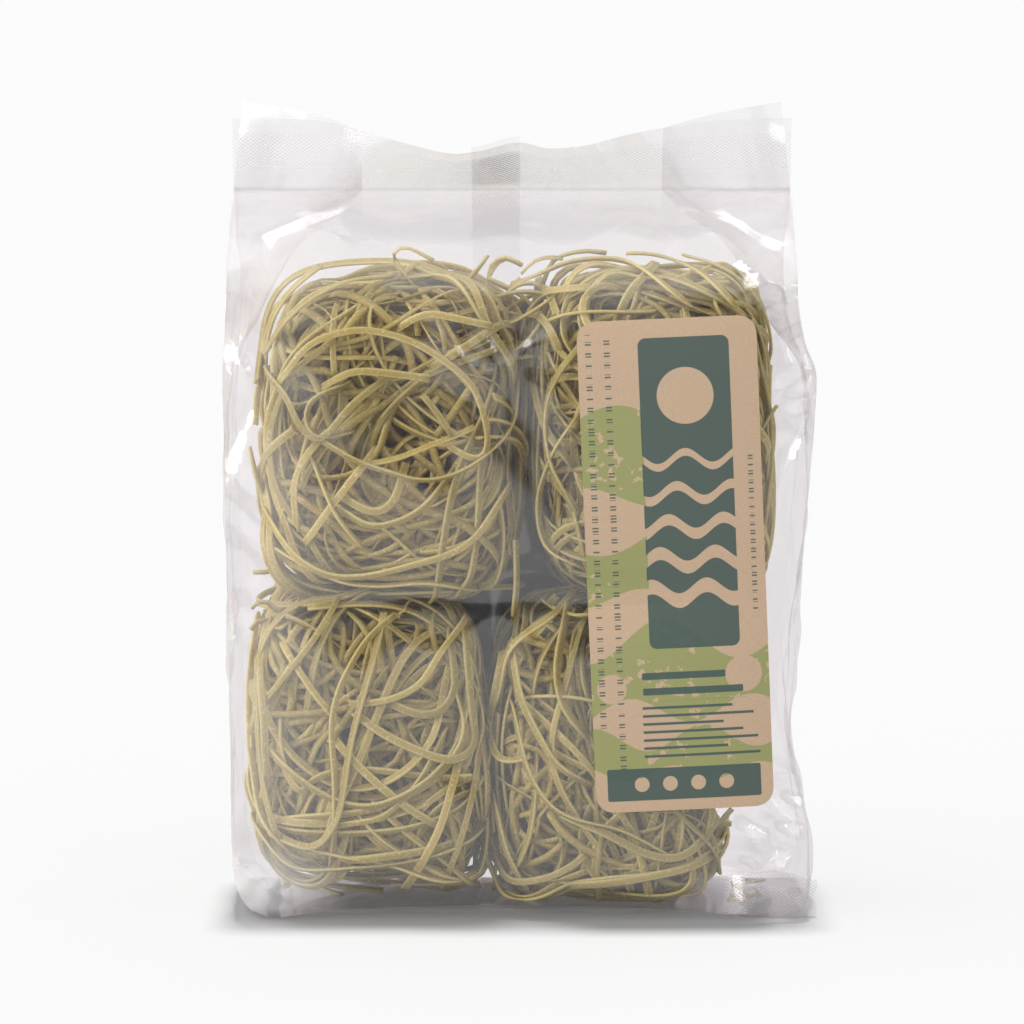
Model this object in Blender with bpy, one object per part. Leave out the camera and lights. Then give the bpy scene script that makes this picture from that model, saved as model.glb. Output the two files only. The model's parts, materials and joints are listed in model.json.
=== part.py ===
"""A clear side-gusseted bag of dried rice noodle nests, standing upright, with two paper labels.

Run with: blender --background --python part.py
Metres, +Z up. The front faces -Y and the origin is at the middle of the base.
"""

import math

import bpy
import bmesh
import numpy as np

# The bag, laid out from the sizes of its film tube.
PANEL_WIDTH = 0.160  # front panel, edge to edge
GUSSET_FOLD = 0.037  # half of a side gusset, from panel edge to inner fold
SEAL_HEIGHT = 0.207  # foot of the heat seal above the floor
SEAL_LENGTH = 0.0205  # from the foot of the seal to the cut edge
REAR_EXTRA = 0.0045  # how much longer the rear ears of the seal are
REAR_INWARD = 0.0025  # how far the corners of the rear ears are drawn in
SEAL_HALF_THICKNESS = 0.0009
LEAF_THICKNESS = 0.0008
EAR_SPLAY = 0.0035  # how far an ear's corner swings out from the middle plane

# The seal's forward lean in degrees at places along it. The back seam props it up.
SEAL_LEANS = (
    (-0.080, 0), (-0.060, 10), (-0.041, 33), (-0.029, 45), (-0.016, 54), (-0.010, 52), (0.002, 43),
    (0.011, 51), (0.021, 50), (0.030, 42), (0.044, 29), (0.060, 14), (0.080, 0),
)

# The body: height, left and right half width, depth of the panel's edge and of
# its middle, and how far the gusset's fold is tucked in. Top row: the seal's foot.
BODY_LEVELS = (
    (0.000, 0.0700, 0.0740, 0.0270, 0.0285, 0.0000),
    (0.003, 0.0750, 0.0830, 0.0300, 0.0320, 0.0000),
    (0.010, 0.0785, 0.0850, 0.0312, 0.0335, 0.0000),
    (0.020, 0.0795, 0.0845, 0.0315, 0.0342, 0.0002),
    (0.038, 0.0798, 0.0818, 0.0318, 0.0345, 0.0005),
    (0.052, 0.0800, 0.0790, 0.0318, 0.0345, 0.0005),
    (0.092, 0.0805, 0.0815, 0.0318, 0.0342, 0.0005),
    (0.135, 0.0812, 0.0845, 0.0316, 0.0346, 0.0010),
    (0.155, 0.0815, 0.0858, 0.0316, 0.0345, 0.0030),
    (0.166, 0.0808, 0.0822, 0.0316, 0.0340, 0.0060),
    (0.178, 0.0803, 0.0803, 0.0314, 0.0322, 0.0105),
    (0.186, 0.0801, 0.0800, 0.0292, 0.0284, 0.0142),
    (0.192, 0.0800, 0.0800, 0.0240, 0.0225, 0.0190),
    (0.199, 0.0800, 0.0800, 0.0136, 0.0116, 0.0290),
    (0.2045, 0.0800, 0.0800, 0.0048, 0.0036, 0.0350),
    (0.207, 0.0800, 0.0800, 0.0018, 0.0009, 0.0370),
)
BODY_RINGS = 40
SEAL_RINGS = 5
PANEL_FLATNESS = 5.0  # higher is flatter in the middle and rounder at the edges

# Relief that the nests press into the film.
NEST_ROW_GAP = 0.092  # height of the gap between the two rows of nests
NEST_COLUMN_GAP = {"upper": 0.002, "lower": -0.006}
GROOVE_DEPTH = 0.0016
GROOVE_HALF_WIDTH = 0.009
SIDE_BULGE = 0.0016

# The lap seam down the back.
SEAM_CENTRE = -0.0046
SEAM_WIDTH = 0.0138
SEAM_RAISE = 0.0008

# Panel points and gusset points of one ring.
PANEL_STEPS = 26
GUSSET_STEPS = 5

# The end of the bottom seal, which sticks out at the lower right.
FIN_START = 0.046
FIN_END = 0.0868
FIN_HEIGHT = 0.0135
FIN_DEPTH = -0.0225
FIN_WAVE = 0.0016
FIN_THICKNESS = 0.0011
FIN_FOOT = 0.0003
FIN_STEPS = 16

# The labels: width, height, middle, how far each is turned, and the panel it is on.
# The front one's head leans towards the middle of the bag. The back one lies over the seam.
LABELS = {
    "label": {"width": 0.0505, "height": 0.1395, "centre": (0.0462, 0.1022), "tilt": math.radians(2.5),
              "side": -1, "gap": 0.0003},
    "back_label": {"width": 0.1115, "height": 0.1640, "centre": (0.0036, 0.0910), "tilt": 0.0,
                   "side": 1, "gap": 0.0011},
}
LABEL_CORNER = 0.0050
LABEL_THICKNESS = 0.0004
LABEL_COLUMNS = 10
LABEL_ROWS = 24

FILM_COLOUR = (0.62, 0.58, 0.44, 1.0)
LABEL_COLOUR = (0.56, 0.42, 0.29, 1.0)


def smooth_curve(knots, values, at):
    """Values between the knots on a smooth curve that never overshoots them."""
    knots = np.asarray(knots, float)
    values = np.asarray(values, float)
    gaps = np.diff(knots)
    slopes = np.diff(values) / gaps
    tangents = np.zeros(len(knots))
    tangents[0] = slopes[0]
    tangents[-1] = slopes[-1]
    rising = slopes[:-1] * slopes[1:] > 0
    harmonic = 2 * slopes[:-1] * slopes[1:] / np.where(rising, slopes[:-1] + slopes[1:], 1)
    tangents[1:-1] = np.where(rising, harmonic, 0)
    at = np.clip(at, knots[0], knots[-1])
    span = np.clip(np.searchsorted(knots, at) - 1, 0, len(gaps) - 1)
    t = (at - knots[span]) / gaps[span]
    rise = values[span] + (values[span + 1] - values[span]) * t * t * (3 - 2 * t)
    lean = tangents[span] * t * (1 - t) ** 2 - tangents[span + 1] * t * t * (1 - t)
    return rise + gaps[span] * lean


def body_at(height):
    """Left and right half width, edge depth, middle depth and tuck at a height."""
    levels = np.array(BODY_LEVELS)
    return [float(smooth_curve(levels[:, 0], levels[:, k], height)) for k in range(1, 6)]


def bump(distance, half_width):
    return np.exp(-((distance / half_width) ** 2))


def groove(x, height):
    """Depth of the shallow grooves where the film spans from nest to nest."""
    upper = bump(x - NEST_COLUMN_GAP["upper"], GROOVE_HALF_WIDTH)
    lower = bump(x - NEST_COLUMN_GAP["lower"], GROOVE_HALF_WIDTH)
    above = 1 / (1 + np.exp(-(height - NEST_ROW_GAP) / GROOVE_HALF_WIDTH))
    column = upper * above + lower * (1 - above)
    row = bump(height - NEST_ROW_GAP, GROOVE_HALF_WIDTH) * bump(x, 0.8 * PANEL_WIDTH / 2)
    fade = np.clip((SEAL_HEIGHT - height) / 0.05, 0, 1)
    return GROOVE_DEPTH * np.maximum(column, row) * fade


def panel_depth(x, height):
    """How far a panel stands off the bag's middle plane."""
    left, right, edge, middle, _ = body_at(height)
    half = np.where(x < 0, left, right)
    crown = 1 - np.abs(x / half).clip(0, 1) ** PANEL_FLATNESS
    return edge + (middle - edge) * crown - groove(x, height) * crown


def seal_lean(x):
    """Forward lean of the seal from upright, at a distance along it."""
    places, leans = zip(*SEAL_LEANS)
    return math.radians(float(smooth_curve(places, leans, x)))


def ear_share(x):
    """0 between the gusset folds, rising to 1 at an ear's corner."""
    inner = PANEL_WIDTH / 2 - GUSSET_FOLD
    return ((np.abs(x) - inner) / GUSSET_FOLD).clip(0, 1)


def lifted(x, depth, along, rear):
    """A point of the seal: depth off the middle plane, along the film from its foot."""
    ear = float(ear_share(x))
    risen = along / SEAL_LENGTH
    reach = along + rear * ear * REAR_EXTRA * risen
    splay = EAR_SPLAY * ear**1.6 * risen
    inward = rear * REAR_INWARD * ear * risen
    side = 1 if rear else -1
    y = side * (depth + splay) - reach * math.sin(seal_lean(x))
    return (x - math.copysign(inward, x), y, SEAL_HEIGHT + reach * math.cos(seal_lean(x)))


def seam_raise(x):
    return SEAM_RAISE if abs(x - SEAM_CENTRE) < SEAM_WIDTH / 2 else 0.0


def panel_stops(rear):
    """Places across a panel from -1 to 1. The rear panel has the seam's edges too."""
    stops = list(np.linspace(-1, 1, PANEL_STEPS + 1))
    if rear:
        for edge in (SEAM_CENTRE - SEAM_WIDTH / 2, SEAM_CENTRE + SEAM_WIDTH / 2):
            for side in (-0.0003, 0.0003):
                stops.append((edge + side) / (PANEL_WIDTH / 2))
    return sorted(stops)


def side_bulge(share, height):
    """How far a nest pushes the gusset outwards, share being 1 at the panel's edge."""
    fade = np.clip((0.17 - height) / 0.03, 0, 1)
    return SIDE_BULGE * (1 - share**2) * fade


def body_ring(height):
    """The points round the bag at one height, from the front left corner."""
    left, right, edge, middle, tuck = body_at(height)

    def across(stop):
        return stop * (left if stop < 0 else right)

    def gusset(side, half):
        points = []
        for k in range(GUSSET_STEPS):
            share = 1 - k / GUSSET_STEPS
            out = half - tuck * (1 - share) + side_bulge(share, height)
            points.append((side * out, (edge - LEAF_THICKNESS) * share))
        front = [(x, -y, height) for x, y in points]
        fold = [(side * (half - tuck + side_bulge(0, height)), 0.0, height)]
        back = [(x, y, height) for x, y in reversed(points)]
        return front, fold, back

    front_xs = [across(s) for s in panel_stops(False)]
    rear_xs = [across(s) for s in panel_stops(True)]
    front = [(x, -float(panel_depth(x, height)), height) for x in front_xs]
    rear = [(x, float(panel_depth(x, height)) + seam_raise(x), height) for x in rear_xs]
    right_front, right_fold, right_back = gusset(1, right)
    left_front, left_fold, left_back = gusset(-1, left)
    return (
        front
        + right_front + right_fold + right_back
        + rear[::-1]
        + left_back[::-1] + left_fold + left_front[::-1]
    )


def seal_ring(along):
    """The points round the heat seal, which splits into two leaves at each ear."""
    half = PANEL_WIDTH / 2

    def leaf(side, rear):
        points = []
        for k in range(GUSSET_STEPS):
            x = side * (half - GUSSET_FOLD * k / GUSSET_STEPS)
            points.append(lifted(x, SEAL_HALF_THICKNESS - LEAF_THICKNESS, along, rear))
        return points

    def fold(side):
        x = side * (half - GUSSET_FOLD)
        reach = along * math.sin(seal_lean(x))
        return [(x, -reach, SEAL_HEIGHT + along * math.cos(seal_lean(x)))]

    front = [lifted(s * half, SEAL_HALF_THICKNESS, along, False) for s in panel_stops(False)]
    rear = []
    for stop in panel_stops(True):
        x = stop * half
        rear.append(lifted(x, SEAL_HALF_THICKNESS + seam_raise(x), along, True))
    right = leaf(1, False) + fold(1) + leaf(1, True)[::-1]
    left = leaf(-1, True) + fold(-1) + leaf(-1, False)[::-1]
    return front + right + rear[::-1] + left


def ring_heights():
    """Heights of the body's rings, closer together where the shoulders turn in."""
    low = np.array([0.0, 0.003, 0.0065])
    middle = np.linspace(0.011, 0.175, BODY_RINGS - 16)
    top = np.linspace(0.179, SEAL_HEIGHT - 0.0006, 13)
    return [float(z) for z in np.concatenate([low, middle, top])]


def mesh_object(name, bm, colour, roughness):
    bmesh.ops.triangulate(bm, faces=[f for f in bm.faces if len(f.verts) > 4])
    bmesh.ops.recalc_face_normals(bm, faces=bm.faces)
    mesh = bpy.data.meshes.new(name)
    bm.to_mesh(mesh)
    bm.free()
    obj = bpy.data.objects.new(name, mesh)
    bpy.context.scene.collection.objects.link(obj)
    obj.data.materials.append(principled(name, colour, roughness))
    return obj


def principled(name, colour, roughness):
    material = bpy.data.materials.new(name)
    material.use_nodes = True
    shader = material.node_tree.nodes["Principled BSDF"]
    shader.inputs["Base Color"].default_value = colour
    shader.inputs["Roughness"].default_value = roughness
    return material


def loft(bm, rings):
    """Quads between closed rings of equal length. The first ring is filled. Returns the last."""
    loops = [[bm.verts.new(point) for point in ring] for ring in rings]
    for low, high in zip(loops, loops[1:]):
        for k in range(len(low)):
            n = (k + 1) % len(low)
            bm.faces.new((low[k], low[n], high[n], high[k]))
    bm.faces.new(loops[0][::-1])
    return loops[-1]


def fill_strip(bm, low, high):
    """Triangles between two runs of points that go the same way along X."""
    i, j = 0, 0
    while i < len(low) - 1 or j < len(high) - 1:
        if j == len(high) - 1 or (i < len(low) - 1 and abs(low[i + 1].co.x - high[j].co.x)
                                  < abs(high[j + 1].co.x - low[i].co.x)):
            bm.faces.new((low[i], low[i + 1], high[j]))
            i += 1
        else:
            bm.faces.new((low[i], high[j + 1], high[j]))
            j += 1


def close_seal(bm, ring):
    """Closes the cut edge: panel to gusset at the ears, and panel to panel between them."""
    count = len(panel_stops(False))
    leaves = 2 * GUSSET_STEPS + 1
    front = ring[:count]
    right = ring[count:count + leaves]
    rear = ring[count + leaves:-leaves][::-1]
    left = ring[-leaves:]
    fold = GUSSET_STEPS
    inner = PANEL_WIDTH / 2 - GUSSET_FOLD
    middle = [v for v in rear if abs(v.co.x) < inner]
    fill_strip(bm, front, left[fold:][::-1] + middle + right[:fold + 1][::-1])
    fill_strip(bm, right[fold:], middle[-1:] + [v for v in rear if v.co.x >= inner])
    fill_strip(bm, left[:fold + 1][::-1], middle[:1] + [v for v in rear if v.co.x <= -inner][::-1])


def make_bag():
    """The shut bag, solid out to its film."""
    rings = [body_ring(height) for height in ring_heights()]
    rings += [seal_ring(float(s)) for s in np.linspace(0, SEAL_LENGTH, SEAL_RINGS)]
    bm = bmesh.new()
    close_seal(bm, loft(bm, rings))
    return mesh_object("bag", bm, FILM_COLOUR, 0.15)


def make_fin():
    """The end of the bottom seal: a wavy strip that stands at the lower right."""
    bm = bmesh.new()
    columns = []
    for k in range(FIN_STEPS + 1):
        share = k / FIN_STEPS
        x = FIN_START + (FIN_END - FIN_START) * share
        y = FIN_DEPTH - 0.004 * share + FIN_WAVE * math.sin(7 * share)
        top = FIN_HEIGHT * (0.9 + 0.1 * math.cos(9 * share))
        lean = 0.0018 * math.sin(5 * share)
        columns.append((
            (x, y - FIN_THICKNESS / 2, FIN_FOOT),
            (x, y + FIN_THICKNESS / 2, FIN_FOOT),
            (x, y + FIN_THICKNESS / 2 + lean, top),
            (x, y - FIN_THICKNESS / 2 + lean, top),
        ))
    bm.faces.new(loft(bm, columns))
    return mesh_object("bottom_fin", bm, FILM_COLOUR, 0.15)


def join(obj, other):
    """Fuses other into obj, and removes it."""
    modifier = obj.modifiers.new("join", "BOOLEAN")
    modifier.operation = "UNION"
    modifier.solver = "EXACT"
    modifier.object = other
    bpy.context.view_layer.objects.active = obj
    with bpy.context.temp_override(object=obj, active_object=obj):
        bpy.ops.object.modifier_apply(modifier=modifier.name)
    bpy.data.objects.remove(other)


def label_rows(height):
    """Distances along a label from its middle, closer together at its round corners."""
    half = height / 2
    corner = [half - LABEL_CORNER * (1 - math.cos(a)) for a in np.linspace(0, math.pi / 2, 5)]
    straight = np.linspace(0, half - LABEL_CORNER, LABEL_ROWS // 2, endpoint=False)
    upper = sorted(set(round(float(v), 7) for v in (*corner, *straight)))
    return [-v for v in reversed(upper) if v > 0] + upper


def label_half_width(width, height, along):
    """Half a label's width at a distance from its middle, with round corners."""
    into = LABEL_CORNER - (height / 2 - abs(along))
    straight = width / 2 - LABEL_CORNER
    return straight + math.sqrt(max(0.0, LABEL_CORNER**2 - max(0.0, into) ** 2))


def label_point(across, along, off, centre, tilt, side):
    """A point of a label: across and along it, off the film's face."""
    x = centre[0] + across * math.cos(tilt) - along * math.sin(tilt)
    z = centre[1] + across * math.sin(tilt) + along * math.cos(tilt)
    return (x, side * (float(panel_depth(x, z)) + off), z)


def make_label(name, width, height, centre, tilt, side, gap):
    """A paper label, lying along the front or the rear panel."""
    bm = bmesh.new()
    for off in (gap + LABEL_THICKNESS, gap):
        rows = []
        for along in label_rows(height):
            half = label_half_width(width, height, along)
            stops = np.linspace(-half, half, LABEL_COLUMNS + 1)
            rows.append([bm.verts.new(label_point(float(a), along, off, centre, tilt, side)) for a in stops])
        for low, high in zip(rows, rows[1:]):
            for k in range(LABEL_COLUMNS):
                bm.faces.new((low[k], low[k + 1], high[k + 1], high[k]))
    bmesh.ops.bridge_loops(bm, edges=[e for e in bm.edges if e.is_boundary])
    return mesh_object(name, bm, LABEL_COLOUR, 0.8)


def main():
    for obj in list(bpy.data.objects):
        bpy.data.objects.remove(obj)
    bag = make_bag()
    join(bag, make_fin())
    for name, sizes in LABELS.items():
        make_label(name, **sizes)


main()
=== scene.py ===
"""The looks of a clear bag of dried rice noodle nests, laid out as a Blender add-on and run as a script.

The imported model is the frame, and every piece sits in its space. Metres, +Z up, the front faces -Y.
"""

import json
import math

import bpy
import numpy as np
from bpy.props import FloatProperty, FloatVectorProperty, PointerProperty
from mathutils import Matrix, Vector

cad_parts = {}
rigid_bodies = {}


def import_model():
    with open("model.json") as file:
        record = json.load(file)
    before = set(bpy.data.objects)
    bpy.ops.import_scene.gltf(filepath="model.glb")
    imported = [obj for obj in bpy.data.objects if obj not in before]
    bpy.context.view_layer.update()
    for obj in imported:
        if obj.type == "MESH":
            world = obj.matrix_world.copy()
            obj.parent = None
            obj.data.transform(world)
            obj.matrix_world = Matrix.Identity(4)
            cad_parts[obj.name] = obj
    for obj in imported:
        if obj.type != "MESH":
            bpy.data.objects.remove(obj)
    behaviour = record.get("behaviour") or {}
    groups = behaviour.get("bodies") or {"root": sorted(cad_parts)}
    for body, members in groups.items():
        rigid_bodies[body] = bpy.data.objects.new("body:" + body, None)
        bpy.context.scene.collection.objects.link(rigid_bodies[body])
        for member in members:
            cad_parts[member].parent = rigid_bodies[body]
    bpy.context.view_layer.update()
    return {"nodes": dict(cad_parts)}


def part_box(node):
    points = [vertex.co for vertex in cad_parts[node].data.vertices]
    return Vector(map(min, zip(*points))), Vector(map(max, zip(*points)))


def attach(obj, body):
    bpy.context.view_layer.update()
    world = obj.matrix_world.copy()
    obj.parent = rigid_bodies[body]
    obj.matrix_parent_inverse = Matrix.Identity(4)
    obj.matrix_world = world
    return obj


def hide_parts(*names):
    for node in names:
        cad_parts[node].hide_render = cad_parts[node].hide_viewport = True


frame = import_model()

bl_info = {
    "name": "Noodle Nest Bag",
    "version": (1, 0, 0),
    "blender": (4, 5, 0),
    "location": "3D View > Sidebar > Noodle Bag",
    "description": "Dresses a clear bag with its film, noodle nests, crumbs, label and studio",
    "category": "Mesh",
}

MM = 0.001

# The bag's form, with the same driving sizes as its solid.
BODY_LEVELS = (
    # height, left and right half width, depth of the panel's edge and middle, tuck of the gusset
    (0.000, 0.0700, 0.0740, 0.0270, 0.0285, 0.0000),
    (0.003, 0.0750, 0.0830, 0.0300, 0.0320, 0.0000),
    (0.010, 0.0785, 0.0850, 0.0312, 0.0335, 0.0000),
    (0.020, 0.0795, 0.0845, 0.0315, 0.0342, 0.0002),
    (0.038, 0.0798, 0.0818, 0.0318, 0.0345, 0.0005),
    (0.052, 0.0800, 0.0790, 0.0318, 0.0345, 0.0005),
    (0.092, 0.0805, 0.0815, 0.0318, 0.0342, 0.0005),
    (0.135, 0.0812, 0.0845, 0.0316, 0.0346, 0.0010),
    (0.155, 0.0815, 0.0858, 0.0316, 0.0345, 0.0030),
    (0.166, 0.0808, 0.0822, 0.0316, 0.0340, 0.0060),
    (0.178, 0.0803, 0.0803, 0.0314, 0.0322, 0.0105),
    (0.186, 0.0801, 0.0800, 0.0292, 0.0284, 0.0142),
    (0.192, 0.0800, 0.0800, 0.0240, 0.0225, 0.0190),
    (0.199, 0.0800, 0.0800, 0.0136, 0.0116, 0.0290),
    (0.2045, 0.0800, 0.0800, 0.0048, 0.0036, 0.0350),
    (0.207, 0.0800, 0.0800, 0.0018, 0.0009, 0.0370),
)
PANEL_FLATNESS = 5.0
REAR_EXTRA = 0.0045
REAR_INWARD = 0.0025
EAR_SPLAY = 0.0035
EAR_CURVE = 1.6  # how late an ear splays along its width
SEAL_LEANS = (
    # place along the seal and its forward lean there in degrees
    (-0.080, 0), (-0.060, 11), (-0.041, 37), (-0.029, 50), (-0.016, 59), (-0.010, 57), (0.002, 48),
    (0.011, 54), (0.021, 51), (0.030, 42), (0.044, 29), (0.060, 14), (0.080, 0),
)
NEST_ROW_GAP = 0.092
NEST_COLUMN_GAP = {"upper": 0.002, "lower": -0.006}
GROOVE_DEPTH = 0.0016
GROOVE_HALF_WIDTH = 0.009
GROOVE_SPAN = 0.8  # of the groove between the rows, as a share of the panel
GROOVE_FADE = 0.05  # over this height below the seal
SIDE_BULGE = 0.0016
BULGE_TOP = 0.17
BULGE_FADE = 0.03
SEAM_CENTRE = -0.0046
SEAM_WIDTH = 0.0138
SEAM_OFFSET = 0.0004
FIN_START = 0.046
FIN_END = 0.0868
FIN_LOW_END = -0.058
FIN_HEIGHT = 0.0135
FIN_DEPTH = -0.0225
FIN_FOOT = 0.0003

# The band that the sealing press marks, as shares of the seal's length, and its diamonds.
BAND_FROM = 0.11
BAND_TO = 0.78
DIAMOND_WIDTH = 0.0014
DIAMOND_HEIGHT = 0.0010
DIAMOND_EDGE = (0.38, 0.05)  # where a line of the net starts and is full, towards its middle
BAND_EDGE = 0.0004  # over this width the band fades in

# The film's finish. Pairs are where something starts and is full.
RIPPLE_SCALE = 90.0
RIPPLE_STRENGTH = 0.05
RIPPLE_HEIGHT = 0.001
NET_STRENGTH = 0.17
NET_HEIGHT = 0.0002
NET_HAZE = 0.26
NET_TINT = 0.34
NET_OFF_SEAM = 0.15  # how strong the net's tint is off the seam, as a share of that on it
HAZE_COLOUR = (0.86, 0.84, 0.86, 1)
SLANT_POWER = 4.0
SLANT_SHINE = 0.40  # shine that is added where the film is seen edge on
CORNER_HAZE = 0.28  # more haze where the film folds over itself at its lower left corner
SIDE_HAZE = 0.10  # and some at its left side, where the film is rubbed against the nests
LEFT_SIDE = (-0.046, -0.072)
ABOVE_FLOOR = (0.024, 0.010)
BELOW_TOP = (0.200, 0.182)
LAP_SHINE = 0.12  # the lap of the seam lies on the film, so it adds less shine of its own

# Film layers lie this far apart where they are sealed to each other.
PLY = 0.00022

# How fine the film's mesh is: round a gusset's half, across the panel's middle, and up.
EAR_STEPS = 34
MIDDLE_STEPS = 76
BASE_STATIONS = 10
BODY_STATIONS = 116
SHOULDER_STATIONS = 36
SEAL_STATIONS = 18
BASE_TOP = 0.012
SHOULDER_FOOT = 0.174
BELOW_SEAL = 0.0004  # the last ring of the body is this far under the seal
FOLD_ANGLE = math.radians(32)  # film bent more than this between two faces shows as a crisp fold


def smooth_curve(knots, values, at):
    """Values between the knots on a smooth curve that never overshoots them."""
    gaps = np.diff(knots)
    slopes = np.diff(values) / gaps
    tangents = np.zeros(len(knots))
    tangents[0] = slopes[0]
    tangents[-1] = slopes[-1]
    rising = slopes[:-1] * slopes[1:] > 0
    harmonic = 2 * slopes[:-1] * slopes[1:] / np.where(rising, slopes[:-1] + slopes[1:], 1)
    tangents[1:-1] = np.where(rising, harmonic, 0)
    at = np.clip(at, knots[0], knots[-1])
    span = np.clip(np.searchsorted(knots, at) - 1, 0, len(gaps) - 1)
    t = (at - knots[span]) / gaps[span]
    rise = values[span] + (values[span + 1] - values[span]) * t * t * (3 - 2 * t)
    lean = tangents[span] * t * (1 - t) ** 2 - tangents[span + 1] * t * t * (1 - t)
    return rise + gaps[span] * lean


def body_at(height):
    """Left and right half width, edge depth, middle depth and tuck at heights."""
    levels = np.array(BODY_LEVELS)
    return [smooth_curve(levels[:, 0], levels[:, k], np.asarray(height, float)) for k in range(1, 6)]


def bump(distance, half_width):
    return np.exp(-((distance / half_width) ** 2))


def groove(x, height):
    """Depth of the shallow grooves where the film spans from nest to nest."""
    upper = bump(x - NEST_COLUMN_GAP["upper"], GROOVE_HALF_WIDTH)
    lower = bump(x - NEST_COLUMN_GAP["lower"], GROOVE_HALF_WIDTH)
    above = 1 / (1 + np.exp(-(height - NEST_ROW_GAP) / GROOVE_HALF_WIDTH))
    column = upper * above + lower * (1 - above)
    row = bump(height - NEST_ROW_GAP, GROOVE_HALF_WIDTH) * bump(x, GROOVE_SPAN * bag().panel_width / 2)
    fade = np.clip((bag().seal_height - height) / GROOVE_FADE, 0, 1)
    return GROOVE_DEPTH * np.maximum(column, row) * fade


def panel_depth(x, height):
    """How far a panel stands off the bag's middle plane."""
    left, right, edge, middle, _ = body_at(height)
    half = np.where(x < 0, left, right)
    crown = 1 - np.abs(x / half).clip(0, 1) ** PANEL_FLATNESS
    return edge + (middle - edge) * crown - groove(x, height) * crown


def seal_lean(x):
    """Forward lean of the seal from upright, at a distance along it."""
    places, leans = np.array(SEAL_LEANS).T
    return np.radians(smooth_curve(places, leans, x))


def ear_share(x):
    """0 between the gusset folds, rising to 1 at an ear's corner."""
    inner = bag().panel_width / 2 - bag().gusset_fold
    return ((np.abs(x) - inner) / bag().gusset_fold).clip(0, 1)


def length_setting(name, description, default):
    return FloatProperty(name=name, description=description, default=default, subtype="DISTANCE")


def share_setting(name, description, default):
    return FloatProperty(
        name=name, description=description, default=default, min=0, max=1, subtype="FACTOR"
    )


def colour_setting(name, description, default):
    return FloatVectorProperty(
        name=name, description=description, default=default, min=0, max=1, subtype="COLOR"
    )


class BagSettings(bpy.types.PropertyGroup):
    """Sizes and colours of the bag's film."""

    panel_width: length_setting("Panel width", "Front panel, edge to edge", 0.160)
    gusset_fold: length_setting("Gusset fold", "From the panel's edge to the inner fold", 0.037)
    seal_height: length_setting("Seal height", "Foot of the heat seal above the floor", 0.207)
    seal_length: length_setting("Seal length", "From the seal's foot to the cut edge", 0.0205)
    film_tint: colour_setting("Film tint", "Light that one layer lets through", (0.940, 0.919, 0.930))
    thin_tint: colour_setting(
        "Thin tint", "The same for the gussets, the seal and the seam", (0.988, 0.982, 0.986)
    )
    film_gloss: share_setting("Film gloss", "Roughness of the film's shine", 0.11)
    film_shine: share_setting("Film shine", "Share that both faces of one layer reflect", 0.115)
    film_haze: share_setting("Film haze", "Share of light that the film scatters", 0.024)


class NestSettings(bpy.types.PropertyGroup):
    """Sizes and colours of the noodles."""

    ribbon_width: length_setting("Ribbon width", "Width of a noodle", 0.0023)
    ribbon_thickness: length_setting("Ribbon thickness", "Thickness of a noodle at its rims", 0.0009)
    strand_length: length_setting("Strand length", "Length of one noodle", 0.40)
    # painted light: the rims get a lighter colour that stands for light glowing through them
    rim_glow_colour: colour_setting("Rim colour", "Lit rims of a noodle", (0.69, 0.60, 0.235))
    body_colour: colour_setting("Body colour", "Hollow middle of a noodle", (0.53, 0.42, 0.11))
    fleck_colour: colour_setting("Fleck colour", "Pale flecks in a noodle", (0.86, 0.79, 0.52))
    translucency: share_setting("Translucency", "Share of light that a noodle lets through", 0.46)


class LabelSettings(bpy.types.PropertyGroup):
    """Colours of the labels."""

    paper_colour: colour_setting("Paper", "Kraft paper", (0.375, 0.268, 0.178))
    dark_ink: colour_setting("Dark ink", "Deep green ink", (0.034, 0.062, 0.056))
    light_ink: colour_setting("Light ink", "Leaf green ink", (0.200, 0.213, 0.076))
    # painted shade: the gummed reverse is coloured near black to stand for the shade it lies in behind the
    # nests
    reverse_shade_colour: colour_setting("Reverse", "Gummed side of the back label", (0.045, 0.044, 0.040))


class StageSettings(bpy.types.PropertyGroup):
    """Floor, light and camera."""

    camera_distance: length_setting("Camera distance", "From the camera to the bag", 1.2245)
    camera_height_angle: FloatProperty(
        name="Camera elevation", description="Angle of the view above level", default=math.radians(6),
        subtype="ANGLE",
    )
    lens: FloatProperty(name="Lens", description="Focal length in millimetres", default=150.0)
    room_light: FloatProperty(name="Room light", description="Brightness of the pale room", default=0.969)
    floor_glow: FloatProperty(
        name="Floor glow", description="Light that the floor gives off itself", default=0.110
    )
    overhead_light: FloatProperty(
        name="Overhead light", description="Light on the floor from above", default=10.75
    )
    floor_colour: colour_setting("Floor", "Pale floor and sweep", (0.18, 0.1806, 0.18))


def bag():
    return bpy.context.scene.noodle_bag


def nests():
    return bpy.context.scene.noodle_nests


def labels():
    return bpy.context.scene.noodle_label


def studio():
    return bpy.context.scene.noodle_stage


def deselect():
    bpy.ops.object.select_all(action="DESELECT")


def mesh_piece(name, points, quads):
    """An object from arrays of points and of quads. A quad that repeats a corner is a triangle."""
    mesh = bpy.data.meshes.new(name)
    mesh.vertices.add(len(points))
    mesh.vertices.foreach_set("co", np.ascontiguousarray(points, dtype=np.float32).ravel())
    quads = np.asarray(quads, dtype=np.int32)
    mesh.loops.add(quads.size)
    mesh.loops.foreach_set("vertex_index", quads.ravel())
    mesh.polygons.add(len(quads))
    mesh.polygons.foreach_set("loop_start", np.arange(0, quads.size, 4, dtype=np.int32))
    mesh.polygons.foreach_set("use_smooth", np.ones(len(quads), bool))
    mesh.update(calc_edges=True)
    mesh.validate()
    piece = bpy.data.objects.new(name, mesh)
    bpy.context.scene.collection.objects.link(piece)
    return piece


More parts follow.
